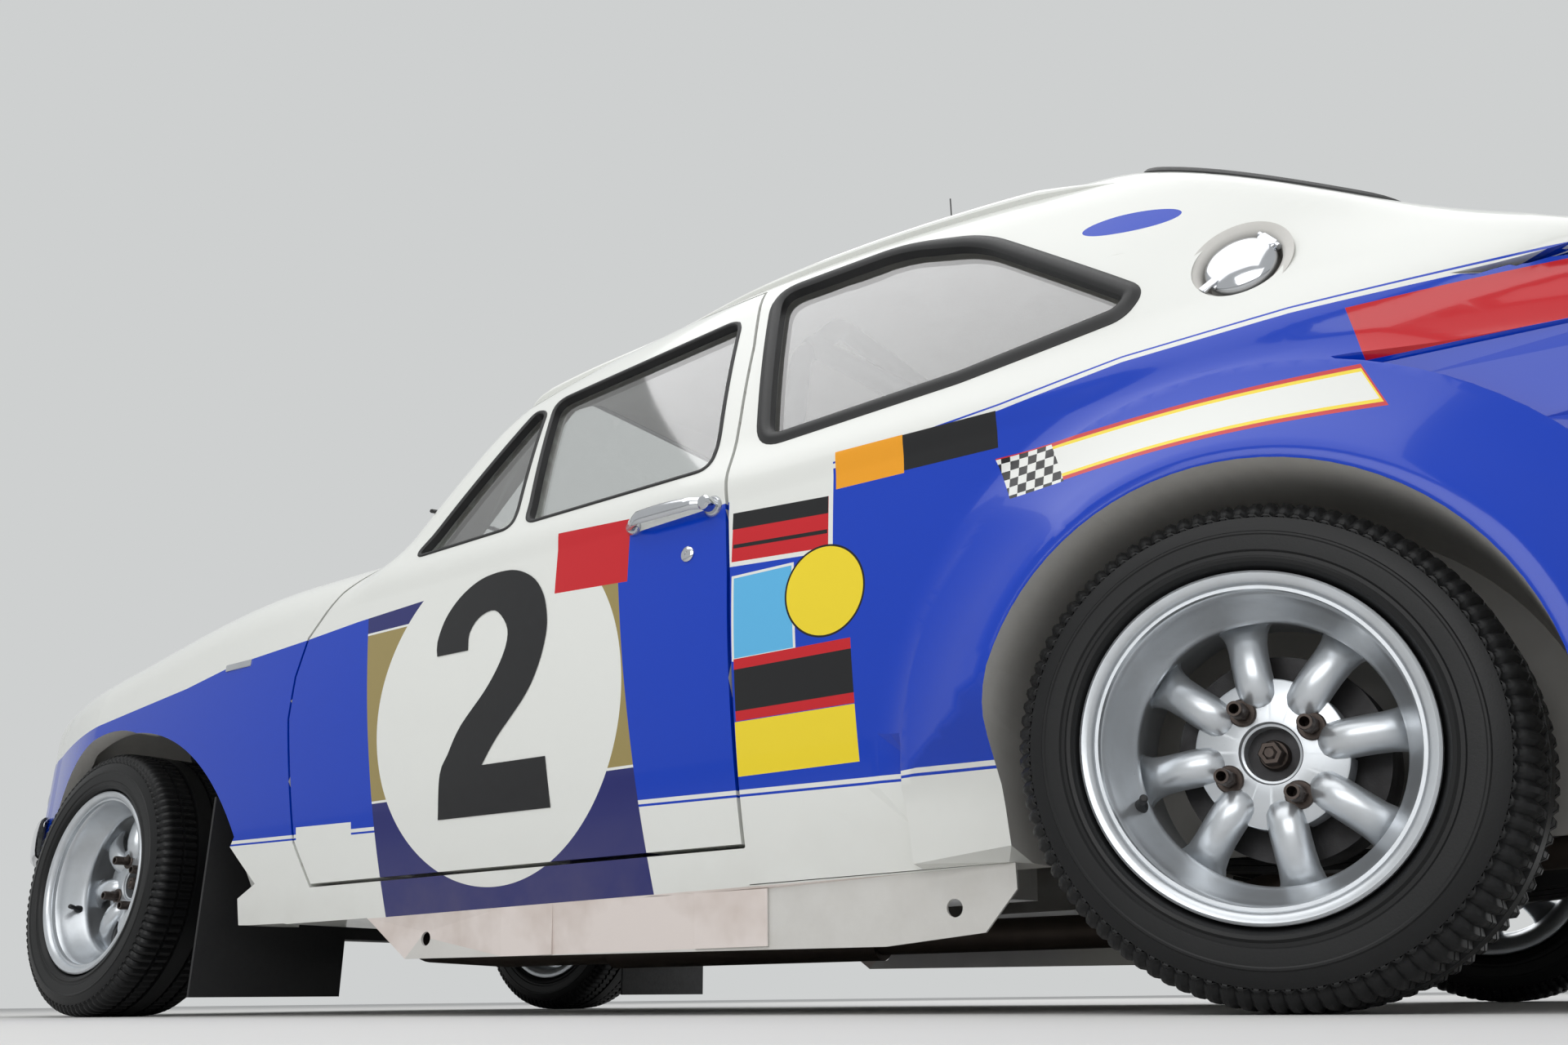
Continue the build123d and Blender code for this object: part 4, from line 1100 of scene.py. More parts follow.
# Tyres: black rubber with a blocked tread, moulded in one piece and mounted on the rims. The sidewalls
# are left bare of lettering.
tread = Paint("tyre_rubber")
tread_grain = tread.noise(500, 3)
tread_dust = tread.noise(8, 4)
tread.grained(tread_dust * 0.7, (11, 12, 13), (27, 27, 28), 0.34 + tread_grain * 0.15, tread_grain, 0.00025,
              0.4, Specular_IOR_Level=0.3)
tyre_half = [
    (60, 166.5), (82, 167.5), (83, 183), (87, 187), (93, 189), (97.5, 193), (98.5, 197), (96.5, 200),
    (96.5, 204), (98.5, 206), (99.2, 218), (99.2, 222), (100.2, 223.5), (100.2, 225.5), (98.6, 227),
    (97, 236), (94.5, 243), (95.5, 244.5), (95, 246.5), (92.5, 248), (90.5, 252), (90, 254), (86, 259),
    (80, 263), (72, 265), (54, 266), (53.5, 259), (47, 259), (46.5, 266), (23.5, 266), (23, 259), (17, 259),
    (16.5, 266),
]
tyre_profile = tyre_half + [(-a, r) for a, r in reversed(tyre_half)]


def tread_wave(x_, r_, a, i):
    """Cross cuts in the tread blocks and small ribs at the shoulder."""
    if i % 3 == 0 and r_ > 264 and (abs(x_) > 52 or 22 < abs(x_) < 48):
        return x_, r_ - 5
    if i % 3 == 0 and 243 < r_ < 264 and abs(x_) > 79:
        return x_ * 0.975, r_ - 3.5
    return x_, r_


tyre_mesh = raw_mesh("tyre", *lathe(tyre_profile, 300, tread_wave))
for end, place_y, hub_x in (("front", front_axle, 667), ("rear", rear_axle, 730)):
    for name, sign in both_sides:
        spot = Matrix.Translation((sign * hub_x / 1000, (place_y + middle) / 1000, axle_height / 1000))
        if sign < 0:
            spot = spot @ Matrix.Rotation(math.pi, 4, "Z")
        body = f"wheel_{end}_{name}"
        for label, mesh, material, slot, node in (
            ("alloy", alloy, silver.material, "wheel_alloy", f"rim_{end}_{name}"),
            ("tread", tyre_mesh, tread.material, "tyre", f"tyre_{end}_{name}"),
            ("nuts", nuts, nut_steel.material, None, None),
            ("hub", hub, nut_steel.material, None, None),
            ("valve", valve, rubber.material, None, None),
        ):
            placed = mesh.copy()
            placed.transform(spot)
            finish_piece(f"{label}_{end}_{name}", placed, material, body, (node,) if node else (), 32)

# Bumpers: chromed steel blades, pressed to a curved section with rolled edges and bent round the
# corners. Each is bolted to two black irons.
chrome = Paint("bright_chrome")
chrome_haze = chrome.noise(35, 4)
chrome.grained(chrome_haze * 0.5, (206, 208, 212), (178, 181, 186), 0.06 + chrome_haze * 0.08,
               chrome.noise(7, 2), 0.0006, 0.15, Metallic=1.0)
blade_section = [(-47, -8), (-46, -1), (-40, 5), (-28, 7.5), (-10, 8.8), (0, 9), (10, 8.8), (28, 7.5),
                 (40, 5), (46, -1), (47, -8), (44, -8), (43, -3), (38, 1.5), (27, 4), (0, 5.5), (-27, 4),
                 (-38, 1.5), (-43, -3), (-44, -8)]
blades = []
for height, tip_y, edge, corner, end in ((382.5, -1891, (555, -1846), (652, -1706), (724, -1540)),
                                         (445, 2071, (640, 2021), (742, 1960), (790, 1760))):
    back = math.copysign(9, tip_y)
    half = arc_through((-edge[0], edge[1] - back), (0, tip_y - back), (edge[0], edge[1] - back), 28)[14:]
    half += arc_through((edge[0], edge[1] - back), (corner[0] - 7, corner[1] - back * 0.5),
                        (end[0] - 9, end[1]), 16)[1:]
    line = [(-a, b, height) for a, b in half[::-1]] + [(a, b, height) for a, b in half[1:]]
    line = np.array(line)
    run = np.gradient(line, axis=0)
    out = np.stack([run[:, 1], -run[:, 0], np.zeros(len(run))], axis=1)
    blades.append(strip(line, out if tip_y < 0 else -out, blade_section))
build("bumper_blades", *joined(blades), chrome.material, "shell", "chrome")
black_paint = Paint("satin_black")
black_wear = black_paint.noise(40, 4)
black_paint.grained((black_wear - 0.5).cut(0, 1), (24, 24, 25), (70, 66, 62), 0.38 + black_wear * 0.2,
                    black_paint.noise(260, 3), 0.0002, 0.4)


def block(low, high, edge=2.0, segments=2):
    """A plate or bar with rounded edges, between its lowest and highest corner."""
    low, high = np.array(low, float), np.array(high, float)
    bm = bmesh.new()
    bmesh.ops.create_cube(bm, size=1)
    for v in bm.verts:
        v.co = Vector((low + high) / 2 + np.array(v.co) * (high - low))
    bmesh.ops.bevel(bm, geom=bm.edges[:], offset=edge, segments=segments, affect="EDGES", profile=0.5)
    points = np.array([tuple(v.co) for v in bm.verts])
    bm.verts.index_update()
    faces = [tuple(v.index for v in f.verts) for f in bm.faces]
    bm.free()
    return points, faces


def tube(path, radius, sides=12):
    """A round bar along a line."""
    path = np.asarray(path, float)
    way = np.gradient(path, axis=0)
    way /= np.linalg.norm(way, axis=1)[:, None]
    out = [np.cross(way[0], (0.31, 0.52, 0.79))]
    for w in way[1:]:
        out.append(out[-1] - (out[-1] @ w) * w)
    return strip(path, out, polygon(radius, sides))


def turned(profile, origin, axis, steps=32):
    """A turned piece whose axle runs along an axis from its origin."""
    points, faces = lathe(profile, steps)
    turn = np.array(Vector((1, 0, 0)).rotation_difference(Vector(axis)).to_matrix())
    return points @ turn.T + np.array(origin, float), faces


iron_x = 420
irons = [block((side - 24, ahead, low), (side + 24, behind, high), 3)
         for ahead, behind, low, high in ((-1872, -1824, 366, 404), (2021, 2052, 431, 464))
         for side in (-iron_x, iron_x)]
build("bumper_irons", *joined(irons), black_paint.material, "shell", "black_steel", ("bumpers",))
bolt_heads = [turned([(0, 0.1), (0, 13), (3, 12), (6, 8), (7, 0.1)], (side, y_, z_), (0, way, 0))
              for side in (-iron_x, iron_x) for y_, z_, way in ((-1866, 382, -1), (2046, 445, 1))]
build("bumper_bolts", *joined(bolt_heads), chrome.material, "shell", "chrome")

# Door handles: a die-cast chrome grip on two feet, a round push button behind it and a lock below. They
# are bolted through the door's skin.


def on_side(y_, z_, sign=1, out=0.0):
    """A point on the skin of one side, or some way out of it."""
    return press_along(np.array([(sign * 780.0, y_, z_)]), (sign, 0, 0), skin_distance, -out)[0]


button, button_profile = (452, 716), [(-2, 0.1), (-2, 11.5), (24, 11.5), (28, 8), (29, 0.1)]
lock, lock_profile = (406, 649), [(-3, 0.1), (-3, 12), (2, 12), (4, 9), (4, 3.5), (3, 3), (3, 0.1)]
for name, sign in both_sides:
    rings = []
    for t in np.linspace(0, 1, 15):
        base = on_side(285 + 165 * t, 718 + 3 * math.sin(math.pi * t), sign)
        out = sign * (3 + 21 * min(1, 5 * t, 6 * (1 - t) + 0.35))
        tall = 9 + 3 * math.sin(math.pi * t)
        rings.append([base + (out + sign * 6 * math.cos(a), 0, tall * math.sin(a))
                      for a in np.linspace(0, 2 * math.pi, 13)[:-1]])
    grips = [loft(rings)]
    for y_, z_, radius, tall in ((*button, 17, 6), (296, 716, 13, 8)):
        grips.append(turned([(-5, 0.1), (-5, radius), (tall - 4, radius), (tall, radius - 3), (tall, 0.1)],
                            on_side(y_, z_, sign), (sign, 0, 0)))
    for profile, spot in ((button_profile, button), (lock_profile, lock)):
        grips.append(turned(profile, on_side(*spot, sign), (sign, 0, 0)))
    build("door_grip_" + name, *joined(grips), chrome.material, "door_" + name, "chrome",
          ("door_handle_" + name,), 40)

# Filler: a polished flip cap with a lever and a hinge, in a round pressed recess in the rear pillar. The
# axis of the filler neck leans up by filler_lean, and the cap is turned a little about it.
filler_lean, cap_turn = 0.31, 0.6
filler_axis = np.array((math.cos(filler_lean), 0, math.sin(filler_lean)))
filler_centre = np.array((716.0, 1243, 877))
filler_up = np.array((-math.sin(filler_lean), 0, math.cos(filler_lean)))
filler_back = np.array((0.0, 1, 0))


def on_cap(points):
    """Points given as (out, back, up) from the middle of the cap."""
    points = np.asarray(points, float)
    out, back, rise = points[:, :1] + 8, points[:, 1:2], points[:, 2:]
    return filler_centre + out * filler_axis + back * filler_back + rise * filler_up


def cap_parts(parts):
    """Parts of the cap as one, turned about its axis and set in their place."""
    cos, sin = math.cos(cap_turn), math.sin(cap_turn)
    placed = []
    for q, faces in parts:
        q = np.asarray(q, float)
        q = np.stack([q[:, 0], q[:, 1] * cos - q[:, 2] * sin, q[:, 1] * sin + q[:, 2] * cos], axis=1)
        placed.append((on_cap(q), faces))
    return joined(placed)


cap = lathe([(-27, 0.1), (-27, 34), (-22, 36), (-20, 42), (-13, 45.5), (-8, 45), (-5, 42), (-3, 38), (2, 26),
             (4.5, 12), (5, 0.1)], 64)
lever = block((-12, -46, -9), (-4, -24, 9), 3)
tongue = block((-6, -58, -6), (-1, -34, 6), 2)
hinge = block((-20, 36, -16), (-3, 50, 16), 4)
pin = turned([(-20, 0.1), (-20, 4), (20, 4), (20, 0.1)], (-8, 45, 0), (0, 0, 1), 16)
build("filler_cap", *cap_parts([cap, lever, tongue]), chrome.material, "fuel_cap", "chrome", ("fuel_cap",),
      40)
build("filler_hinge", *cap_parts([hinge, pin]), chrome.material, "shell", "chrome")
cup = lathe([(-42, 0.1), (-42, 40), (-38, 46), (-28, 48.5), (-16, 50), (-10, 52), (-6, 57), (-3.6, 67),
             (-7, 67), (-14, 61), (-34, 58), (-45, 48), (-45, 0.1)], 64)
build("filler_cup", on_cap(cup[0]), cup[1], inner_white.material, "shell", "body_paint", ("fuel_filler",))

# Lamps: round sealed headlamps with fluted glass, and ribbed plastic lenses at the tail. Chrome rims hold
# them from outside.
lamp_glass = Paint("lamp_glass")
x, y, z = lamp_glass.place()
flute_relief_and_sheen = lamp_glass.math("SINE", x * 0.9)
# The wave both raises the flutes and paints light and dark bands along them: painted sheen and shade on the
# fluted glass, as well as its relief.
lamp_glass.grained((flute_relief_and_sheen + 1) * 0.25, (222, 226, 228), (168, 174, 178), 0.1 + lamp_glass.noise(50, 2) * 0.1,
                   flute_relief_and_sheen, 0.0012, 0.6, Metallic=0.6, Coat_Weight=1.0)
lens_profile = [(0, 0.1), (0, 68), (30, 70), (34, 68), (40, 56), (44, 38), (46.5, 18), (47, 0.1)]
lamp_rim = [(20, 69), (20, 75.5), (36, 75.5), (42, 74), (43, 71), (40, 68), (34, 67)]
lamp_centres = [(side * 520, -1752, 505) for side in (-1, 1)]
lenses = [turned(lens_profile, centre, (0, -1, 0), 64) for centre in lamp_centres]
rims = [turned(lamp_rim, centre, (0, -1, 0), 64) for centre in lamp_centres]
build("headlamp_lenses", *joined(lenses), lamp_glass.material, "shell", "lamp_glass", ("headlamps",))
build("headlamp_rims", *joined(rims), chrome.material, "shell", "chrome")
tail_lenses = (
    ("clear", (214, 216, 216), 507, 542), ("red", (170, 16, 18), 544, 610),
    ("amber", (226, 120, 20), 612, 653),
)
for number, (colour_name, colour, start, end) in enumerate(tail_lenses):
    lens = Paint("tail_lens_" + colour_name)
    x, y, z = lens.place()
    ribs = lens.math("SINE", z * 0.8)
    # The rib wave raises the ribs and also darkens the lens colour in bands along them: painted shade in the
    # ribs, as well as their relief.
    lens.grained((ribs + 1) * 0.2, colour, (90, 30, 24), 0.12 + lens.noise(60, 2) * 0.1, ribs, 0.001, 0.5,
                 Coat_Weight=1.0)
    depth_y = 2014 - max(0, end - 600) * 0.45
    parts = []
    for side in (-1, 1):
        x_low, x_high = sorted((side * start, side * end))
        parts.append(block((x_low, depth_y - 40, 533), (x_high, depth_y + 12, 612), 5, 3))
    build(f"tail_lens_{number}", *joined(parts), lens.material, "shell", "red_lens",
          ("rear_lamps",) if colour_name == "red" else ())

# Grille: painted bars behind a thin chrome frame that follows the nose. The same thin frame, clipped on,
# runs round each group of tail lenses.


def nose_strip(outline, section, sign=-1):
    """A thin frame on the nose, or with sign 1 on the tail."""
    start = np.array([(x_, 1985.0 if sign > 0 else -1830.0, z_) for x_, z_ in outline])
    centre = press_along(start, (0, sign, 0), skin_distance)
    return strip(centre, slope_of(skin_distance, centre), section, True)


frame_section = [(-7, -6), (-7, 1), (-4, 4), (1, 4), (4, 1), (4, -6)]
grille_outline = rounded([(-434, 445), (434, 445), (434, 560), (-434, 560)], 24)
build("grille_frame", *nose_strip(grille_outline, frame_section), chrome.material, "shell", "chrome")
tail_frames = []
for s in (1, -1):
    corners = [(s * 505, 530), (s * 655, 530), (s * 655, 615), (s * 505, 615)][::s]
    tail_frames.append(nose_strip(rounded(corners, 14), frame_section, 1))
build("tail_lamp_frames", *joined(tail_frames), chrome.material, "shell", "chrome")

# Small fittings: blank number plates, a bare chrome strip on each front wing, two bonnet pins with their
# clips and the two wipers, all of them bolted or pushed on
plate_paint = Paint("blank_plate")
plate_grain = plate_paint.noise(80, 3)
plate_paint.surface(Base_Color=plate_paint.mix(plate_grain * 0.5, tone(24, 24, 26), tone(44, 44, 46)),
                    Roughness=0.3 + plate_grain * 0.1)
build("blank_plates", *joined([block((-260, -1848, 225), (260, -1841, 325), 3),
                               block((-260, 2036, 520), (260, 2043, 630), 3)]),
      plate_paint.material, "shell", "black_plastic")
strips = []
for _, sign in both_sides:
    p = on_side(-742, 652, sign)
    strips.append(block(p - (2.5, 42, 7), p + (2.5, 42, 7), 1.6))
build("wing_strips", *joined(strips), chrome.material, "shell", "chrome")
pin_clip = [(-14, 0, 12), (14, 0, 12), (18, 0, 15), (14, 0, 18), (6, 0, 14)]
pins = []
for side in (-1, 1):
    foot = press_along(np.array([(side * 420.0, -1640, 660)]), (0, 0, 1), skin_distance)[0]
    pins.append(turned([(-1, 0.1), (-1, 19), (2, 18), (2.5, 6), (4, 5), (22, 5), (24, 3), (24, 0.1)], foot,
                       (0, -0.12, 1), 24))
    pins.append(tube(foot + np.array(pin_clip), 1.2, 8))
build("bonnet_pins", *joined(pins), chrome.material, "bonnet", "chrome")
screen_way = (0, -0.78, 0.62)
arms, wipers = [], []
for start_x, tip_x in ((-330, 60), (180, 520)):
    foot = press_along(np.array([(start_x, -400.0, 850)]), (0, 0, 1), skin_distance)[0]
    line = smooth_line([foot + (0, 0, 14), foot + ((tip_x - start_x) * 0.5, 40, 52),
                        foot + (tip_x - start_x, 60, 72)])
    raised = press_along(line, screen_way, skin_distance, -16)
    arms.append(tube(raised, 3.2, 8))
    arms.append(turned([(-6, 0.1), (-6, 13), (12, 12), (18, 8), (19, 0.1)], foot, (0, -0.2, 1), 20))
    wiper = np.array([raised[-1] + (t * 200, abs(t) * 2, abs(t) * 3) for t in np.linspace(-1, 1, 15)])
    wipers.append(tube(press_along(wiper, screen_way, skin_distance, -7), 4, 6))
build("wiper_arms", *joined(arms), black_paint.material, "shell", "black_steel")
build("wiper_blades", *joined(wipers), rubber.material, "shell", "black_plastic")

# Castings, forgings and tubes that keep their solid shapes: iron, steel and rubber, painted and bare, each
# with its own grain, and all bolted to the shell


def finish_nodes(paint, *names):
    for node_name in names:
        for place in frame["nodes"][node_name].material_slots:
            place.material = paint.material


cast_iron = Paint("cast_iron")
cast_grain = cast_iron.noise(150, 5, 0.7)
cast_iron.grained(cast_iron.noise(9, 4), (92, 92, 94), (62, 58, 54), 0.55 + cast_grain * 0.25, cast_grain,
                  0.0008, 0.6, Metallic=0.5)
pipe_steel = Paint("pipe_steel")
pipe_bloom = pipe_steel.noise(7, 5, 0.65)
pipe_steel.grained(pipe_bloom, (98, 88, 80), (58, 50, 46), 0.4 + pipe_bloom * 0.3, pipe_steel.noise(220, 3),
                   0.0003, 0.5, Metallic=0.7)
disc_iron = Paint("disc_iron")
disc_mark = disc_iron.noise(30, 3)
disc_iron.grained(disc_mark, (70, 70, 72), (44, 42, 41), 0.35 + disc_mark * 0.3, disc_iron.noise(400, 2),
                  0.0003, 0.5, Metallic=0.8)
flap_rubber = Paint("flap_rubber")
flap_grain = flap_rubber.noise(120, 4)
flap_rubber.grained(flap_rubber.noise(5, 3) * 0.7, (20, 20, 22), (38, 38, 39), 0.45 + flap_grain * 0.25,
                    flap_grain, 0.0006, 0.5)
finish_nodes(cast_iron, "engine_block", "driveline")
finish_nodes(pipe_steel, "exhaust")
finish_nodes(disc_iron, "brake_front_left", "brake_front_right", "brake_rear_left", "brake_rear_right")
finish_nodes(flap_rubber, "mud_flaps")
finish_nodes(inner_white, "inner_arches", "bulkhead", "boot_floor")
finish_nodes(black_paint, "grille", "front_suspension", "steering_gear", "rear_axle", "roll_cage",
             "knuckle_left", "knuckle_right", "roof_aerial", "dashboard")

# Springs: a wound coil and a cup on each front strut, and at the rear a pack of flat leaves on each side,
# held to the axle by bent bolts, with a damper beside it
coil_radius, coil_turns, coil_foot, coil_height = 56, 5.5, 342, 118
for name, sign in both_sides:
    foot = np.array((588.0, front_axle, 190))
    lean = np.array((480.0 - 588, 0, 500)) / math.hypot(108, 500)
    beside_strut = np.array((lean[2], 0, -lean[0]))
    spiral = []
    for t in np.linspace(0, 1, 110):
        a = 2 * math.pi * coil_turns * t
        around = beside_strut * coil_radius * math.cos(a) + np.array((0, coil_radius * math.sin(a), 0))
        spiral.append(foot + lean * (coil_foot + coil_height * t) + around)
    parts = [tube(np.array(spiral) * (sign, 1, 1), 6, 10)]
    parts.append(turned([(0, 0.1), (0, 30), (150, 30), (150, 0.1)], (foot + lean * 175) * (sign, 1, 1),
                        lean * (sign, 1, 1), 32))
    build("strut_spring_" + name, *joined(parts), black_paint.material, "knuckle_" + name, "black_steel")
spring_x, leaf_z = 455, 196
damper = [(0, 0.1), (0, 20), (170, 20), (170, 26), (172, 26), (172, 0.1)]
clamp = [(-32, 180), (-32, 262), (-20, 304), (20, 304), (32, 262), (32, 180)]
leaves = []
for side in (-1, 1):
    for number, reach in enumerate((400, 280, 160)):
        eye_z = leaf_z + 89 * (reach / 520) ** 2
        arc = arc_through((rear_axle - reach, eye_z), (rear_axle, leaf_z), (rear_axle + reach, eye_z), 16)
        line = np.array([(side * spring_x, a, b - 16 - 8 * number) for a, b in arc])
        leaves.append(strip(line, np.tile((0, 0, 1.0), (len(line), 1)),
                            [(-24, -3.5), (-24, 3.5), (24, 3.5), (24, -3.5)]))
    for offset in (-38, 38):
        leaves.append(tube([(side * spring_x + x_, rear_axle + offset, z_) for x_, z_ in clamp], 5, 8))
    leaves.append(turned(damper, (side * 380, 1290, 180), (0, 0.25, 1), 24))
build("leaf_packs", *joined(leaves), black_paint.material, "shell", "black_steel")

# Seats: two moulded plastic buckets with stuffed cushions in black woven cloth, sewn in upright channels.
# Each bucket stands on two runners that are bolted to the floor.
seat_cloth = Paint("seat_cloth")
x, y, z = seat_cloth.place()
weave = seat_cloth.math("SINE", x * 2.2) * seat_cloth.math("SINE", (y + z) * 2.2)
cloth_fade = seat_cloth.noise(9, 4)
seat_cloth.grained((weave * 0.25 + cloth_fade * 0.6).cut(0, 1), (26, 27, 31), (58, 59, 64),
                   0.78 + cloth_fade * 0.15, weave, 0.0006, 0.5)
shell_plastic = Paint("shell_plastic")
shell_grain = shell_plastic.noise(180, 4)
shell_plastic.grained(shell_plastic.noise(6, 3) * 0.6, (26, 26, 28), (46, 46, 48), 0.35 + shell_grain * 0.25,
                      shell_grain, 0.0005, 0.5)


def stuffed(name, rings, grow=12.0, frames=20):
    """A cushion: the cut form is turned to cloth and blown out by its filling, by grow at most."""
    points, faces = loft(rings)
    form = bpy.data.objects.new(name, bpy.data.meshes.new(name))
    form.data.from_pydata(to_row(points).tolist(), [], faces)
    bm = bmesh.new()
    bm.from_mesh(form.data)
    bmesh.ops.recalc_face_normals(bm, faces=bm.faces)
    bm.to_mesh(form.data)
    bm.free()
    scene.collection.objects.link(form)
    voxels = form.modifiers.new("voxels", "REMESH")
    voxels.mode = "VOXEL"
    voxels.voxel_size = 0.006
    grid = bpy.data.meshes.new_from_object(form.evaluated_get(bpy.context.evaluated_depsgraph_get()))
    form.modifiers.clear()
    form.data = grid
    cloth = form.modifiers.new("filling", "CLOTH")
    cloth.settings.use_pressure = True
    cloth.settings.uniform_pressure_force = 4
    cloth.settings.effector_weights.gravity = 0
    for number in range(1, frames + 1):
        scene.frame_set(number)
    blown = bpy.data.meshes.new_from_object(form.evaluated_get(bpy.context.evaluated_depsgraph_get()))
    form.modifiers.clear()
    start, end = values_of(grid.vertices, "co"), values_of(blown.vertices, "co")
    move = end - start
    far = np.linalg.norm(move, axis=1)[:, None]
    share = np.minimum(1, grow / 1000 / np.maximum(far, 1e-9))
    grid.vertices.foreach_set("co", (start + move * share).ravel())
    scene.frame_set(1)
    mesh = form.data
    mesh.update()
    bpy.data.objects.remove(form)
    return mesh


def sewn(mesh, lines, deep=5.0):
    """Pulls the cloth in along the seams between the channels."""
    p = values_of(mesh.vertices, "co") * 1000
    pull = sum(np.exp(-((p[:, 0] - line) / 7.0) ** 2) for line in lines)
    p -= values_of(mesh.vertices, "normal") * (pull * deep)[:, None]
    mesh.vertices.foreach_set("co", (p / 1000).ravel())
    mesh.update()


def cushion_rings(stations):
    """Rings with soft corners: (y, z, half width, half height, lean) from one end to the other."""
    rings = []
    for y_, z_, wide, tall, lean in stations:
        ring = []
        for a in np.linspace(0, 2 * math.pi, 29)[:-1]:
            u = wide * math.copysign(abs(math.cos(a)) ** 0.45, math.cos(a))
            v = tall * math.copysign(abs(math.sin(a)) ** 0.6, math.sin(a))
            ring.append((u, y_ - v * math.sin(lean), z_ + v * math.cos(lean)))
        rings.append(np.array(ring))
    return rings


base_form = stuffed("seat_base", cushion_rings([
    (-92, 312, 150, 26, 0.1), (-84, 316, 176, 44, 0.1), (-40, 318, 184, 50, 0.05), (60, 306, 182, 46, 0),
    (160, 296, 182, 44, -0.1), (238, 292, 178, 42, -0.15), (262, 292, 160, 26, -0.15)]))
back_form = stuffed("seat_back", cushion_rings([
    (262, 352, 150, 18, -1.25), (270, 372, 172, 30, -1.25), (300, 470, 186, 34, -1.27),
    (334, 600, 190, 34, -1.3), (366, 720, 168, 32, -1.3), (386, 800, 130, 30, -1.3),
    (404, 868, 104, 28, -1.3), (410, 886, 84, 16, -1.3)]))
channels = (-120, -60, 0, 60, 120)
seat_x = 357
sewn(base_form, channels)
sewn(back_form, channels)
for name, sign in both_sides:
    for label, form in (("base", base_form), ("back", back_form)):
        placed = form.copy()
        placed.transform(Matrix.Translation((sign * seat_x / 1000, 0, 0)))
        pad_piece = finish_piece(f"seat_{label}_{name}", placed, seat_cloth.material, "shell",
                                 ("seats",) if (label, name) == ("base", "left") else (), 60, 1)
bucket_line = ((-96, 258), (60, 236), (180, 232), (262, 262), (318, 420), (372, 640), (404, 780), (438, 890))
buckets = []
for side in (seat_x, -seat_x):
    line = smooth_line([(side, a, b) for a, b in bucket_line], 26)
    rings = []
    for i, (cx, cy, cz) in enumerate(line):
        t = i / (len(line) - 1)
        wide = np.interp(t, [0, 0.3, 0.62, 0.8, 1], [186, 196, 200, 168, 92])
        wing = np.interp(t, [0, 0.12, 0.35, 0.62, 0.8, 1], [46, 64, 74, 62, 40, 22])
        ahead = line[min(i + 1, len(line) - 1)] - line[max(i - 1, 0)]
        up = np.array((0, -ahead[2], ahead[1])) / np.linalg.norm(ahead[1:])
        up = up if up[2] > 0 or up[1] < 0 else -up
        path = [(-wide, wing), (-wide * 0.97, wing * 0.3), (-wide * 0.8, 2), (0, 0), (wide * 0.8, 2),
                (wide * 0.97, wing * 0.3), (wide, wing), (wide + 5, wing), (wide + 3, wing * 0.2),
                (wide * 0.82, -6), (0, -8), (-wide * 0.82, -6), (-wide - 3, wing * 0.2), (-wide - 5, wing)]
        rings.append(np.array([(cx + u, cy + up[1] * v, cz + up[2] * v) for u, v in path]))
    buckets.append(loft(rings))
    for foot_x in (side - 150, side + 150):
        buckets.append(block((foot_x - 14, -60, 182), (foot_x + 14, 280, 206), 4))
        buckets.append(block((foot_x - 8, -30, 204), (foot_x + 8, 20, 246), 3))
        buckets.append(block((foot_x - 8, 200, 204), (foot_x + 8, 250, 240), 3))
build("seat_buckets", *joined(buckets), shell_plastic.material, "shell", "black_plastic", (), 40)

# Steering wheel: a leather rim sewn on the inside, three flat alloy spokes and a round pad. It is held to
# the column by one nut under the pad.
leather = Paint("rim_leather")
leather_grain = leather.noise(260, 4, 0.6)
leather.grained(leather_grain, (20, 19, 19), (46, 43, 41), 0.45 + leather_grain * 0.2, leather_grain, 0.0006,
                0.6)
wheel_middle = np.array((-335.0, -80, 700))
column = np.array((0, 210.0, 100)) / math.hypot(210, 100)
wheel_up = np.array((0, -column[2], column[1]))


def on_wheel(points):
    """Points given as (across, up the wheel, towards the driver)."""
    points = np.asarray(points, float)
    return wheel_middle + points[:, :1] * (1, 0, 0) + points[:, 1:2] * wheel_up + points[:, 2:] * column


rim_section = [(14 * math.sin(a), 171 + 14 * math.cos(a)) for a in np.linspace(0, 2 * math.pi, 17)[:-1]]
rim_points, rim_faces = lathe(rim_section, 72)
build("steering_rim", on_wheel(rim_points[:, [1, 2, 0]]), rim_faces, leather.material, "steering_wheel",
      "black_plastic", ("steering_wheel",))
stitch_count = 120
stitch = raw_mesh("stitch", *tube([(156.5, -3, -5), (154.8, 0, 0), (156.5, 3, 5)], 0.9, 5))
stitches = repeated(stitch, stitch_count, seat_cloth.material, turn=(0, 0, 2 * math.pi / stitch_count))
spoke_edge = [(30, 17), (60, 13), (110, 11), (150, 15), (163, 19)]
spoke_ring = spoke_edge + [(d, -w) for d, w in spoke_edge[::-1]]
wheel_parts = []
for a in (0, math.pi, 1.5 * math.pi):
    top = [(u * math.cos(a) - v * math.sin(a), u * math.sin(a) + v * math.cos(a), 2.2) for u, v in spoke_ring]
    low = [(q[0], q[1], -2.2) for q in top]
    n = len(spoke_ring)
    wheel_parts.append((np.array(top + low), [tuple(range(n)), tuple(range(2 * n - 1, n - 1, -1))]
                        + [(k, (k + 1) % n, n + (k + 1) % n, n + k) for k in range(n)]))
hub_disc = lathe([(-60, 0.1), (-60, 20), (-12, 22), (-6, 44), (4, 46), (9, 40), (13, 24), (15, 0.1)], 40)
wheel_parts.append((hub_disc[0][:, [1, 2, 0]], hub_disc[1]))
steel = Paint("brushed_alloy")
brushing = steel.noise(60, 3, 0.5, (1, 14, 14))
steel.grained(brushing, (150, 152, 155), (186, 188, 191), 0.25 + brushing * 0.2, brushing, 0.0001, 0.4,
              Metallic=0.9)
wheel_points, wheel_faces = joined(wheel_parts)
build("steering_spokes", on_wheel(wheel_points), wheel_faces, steel.material, "steering_wheel", None)
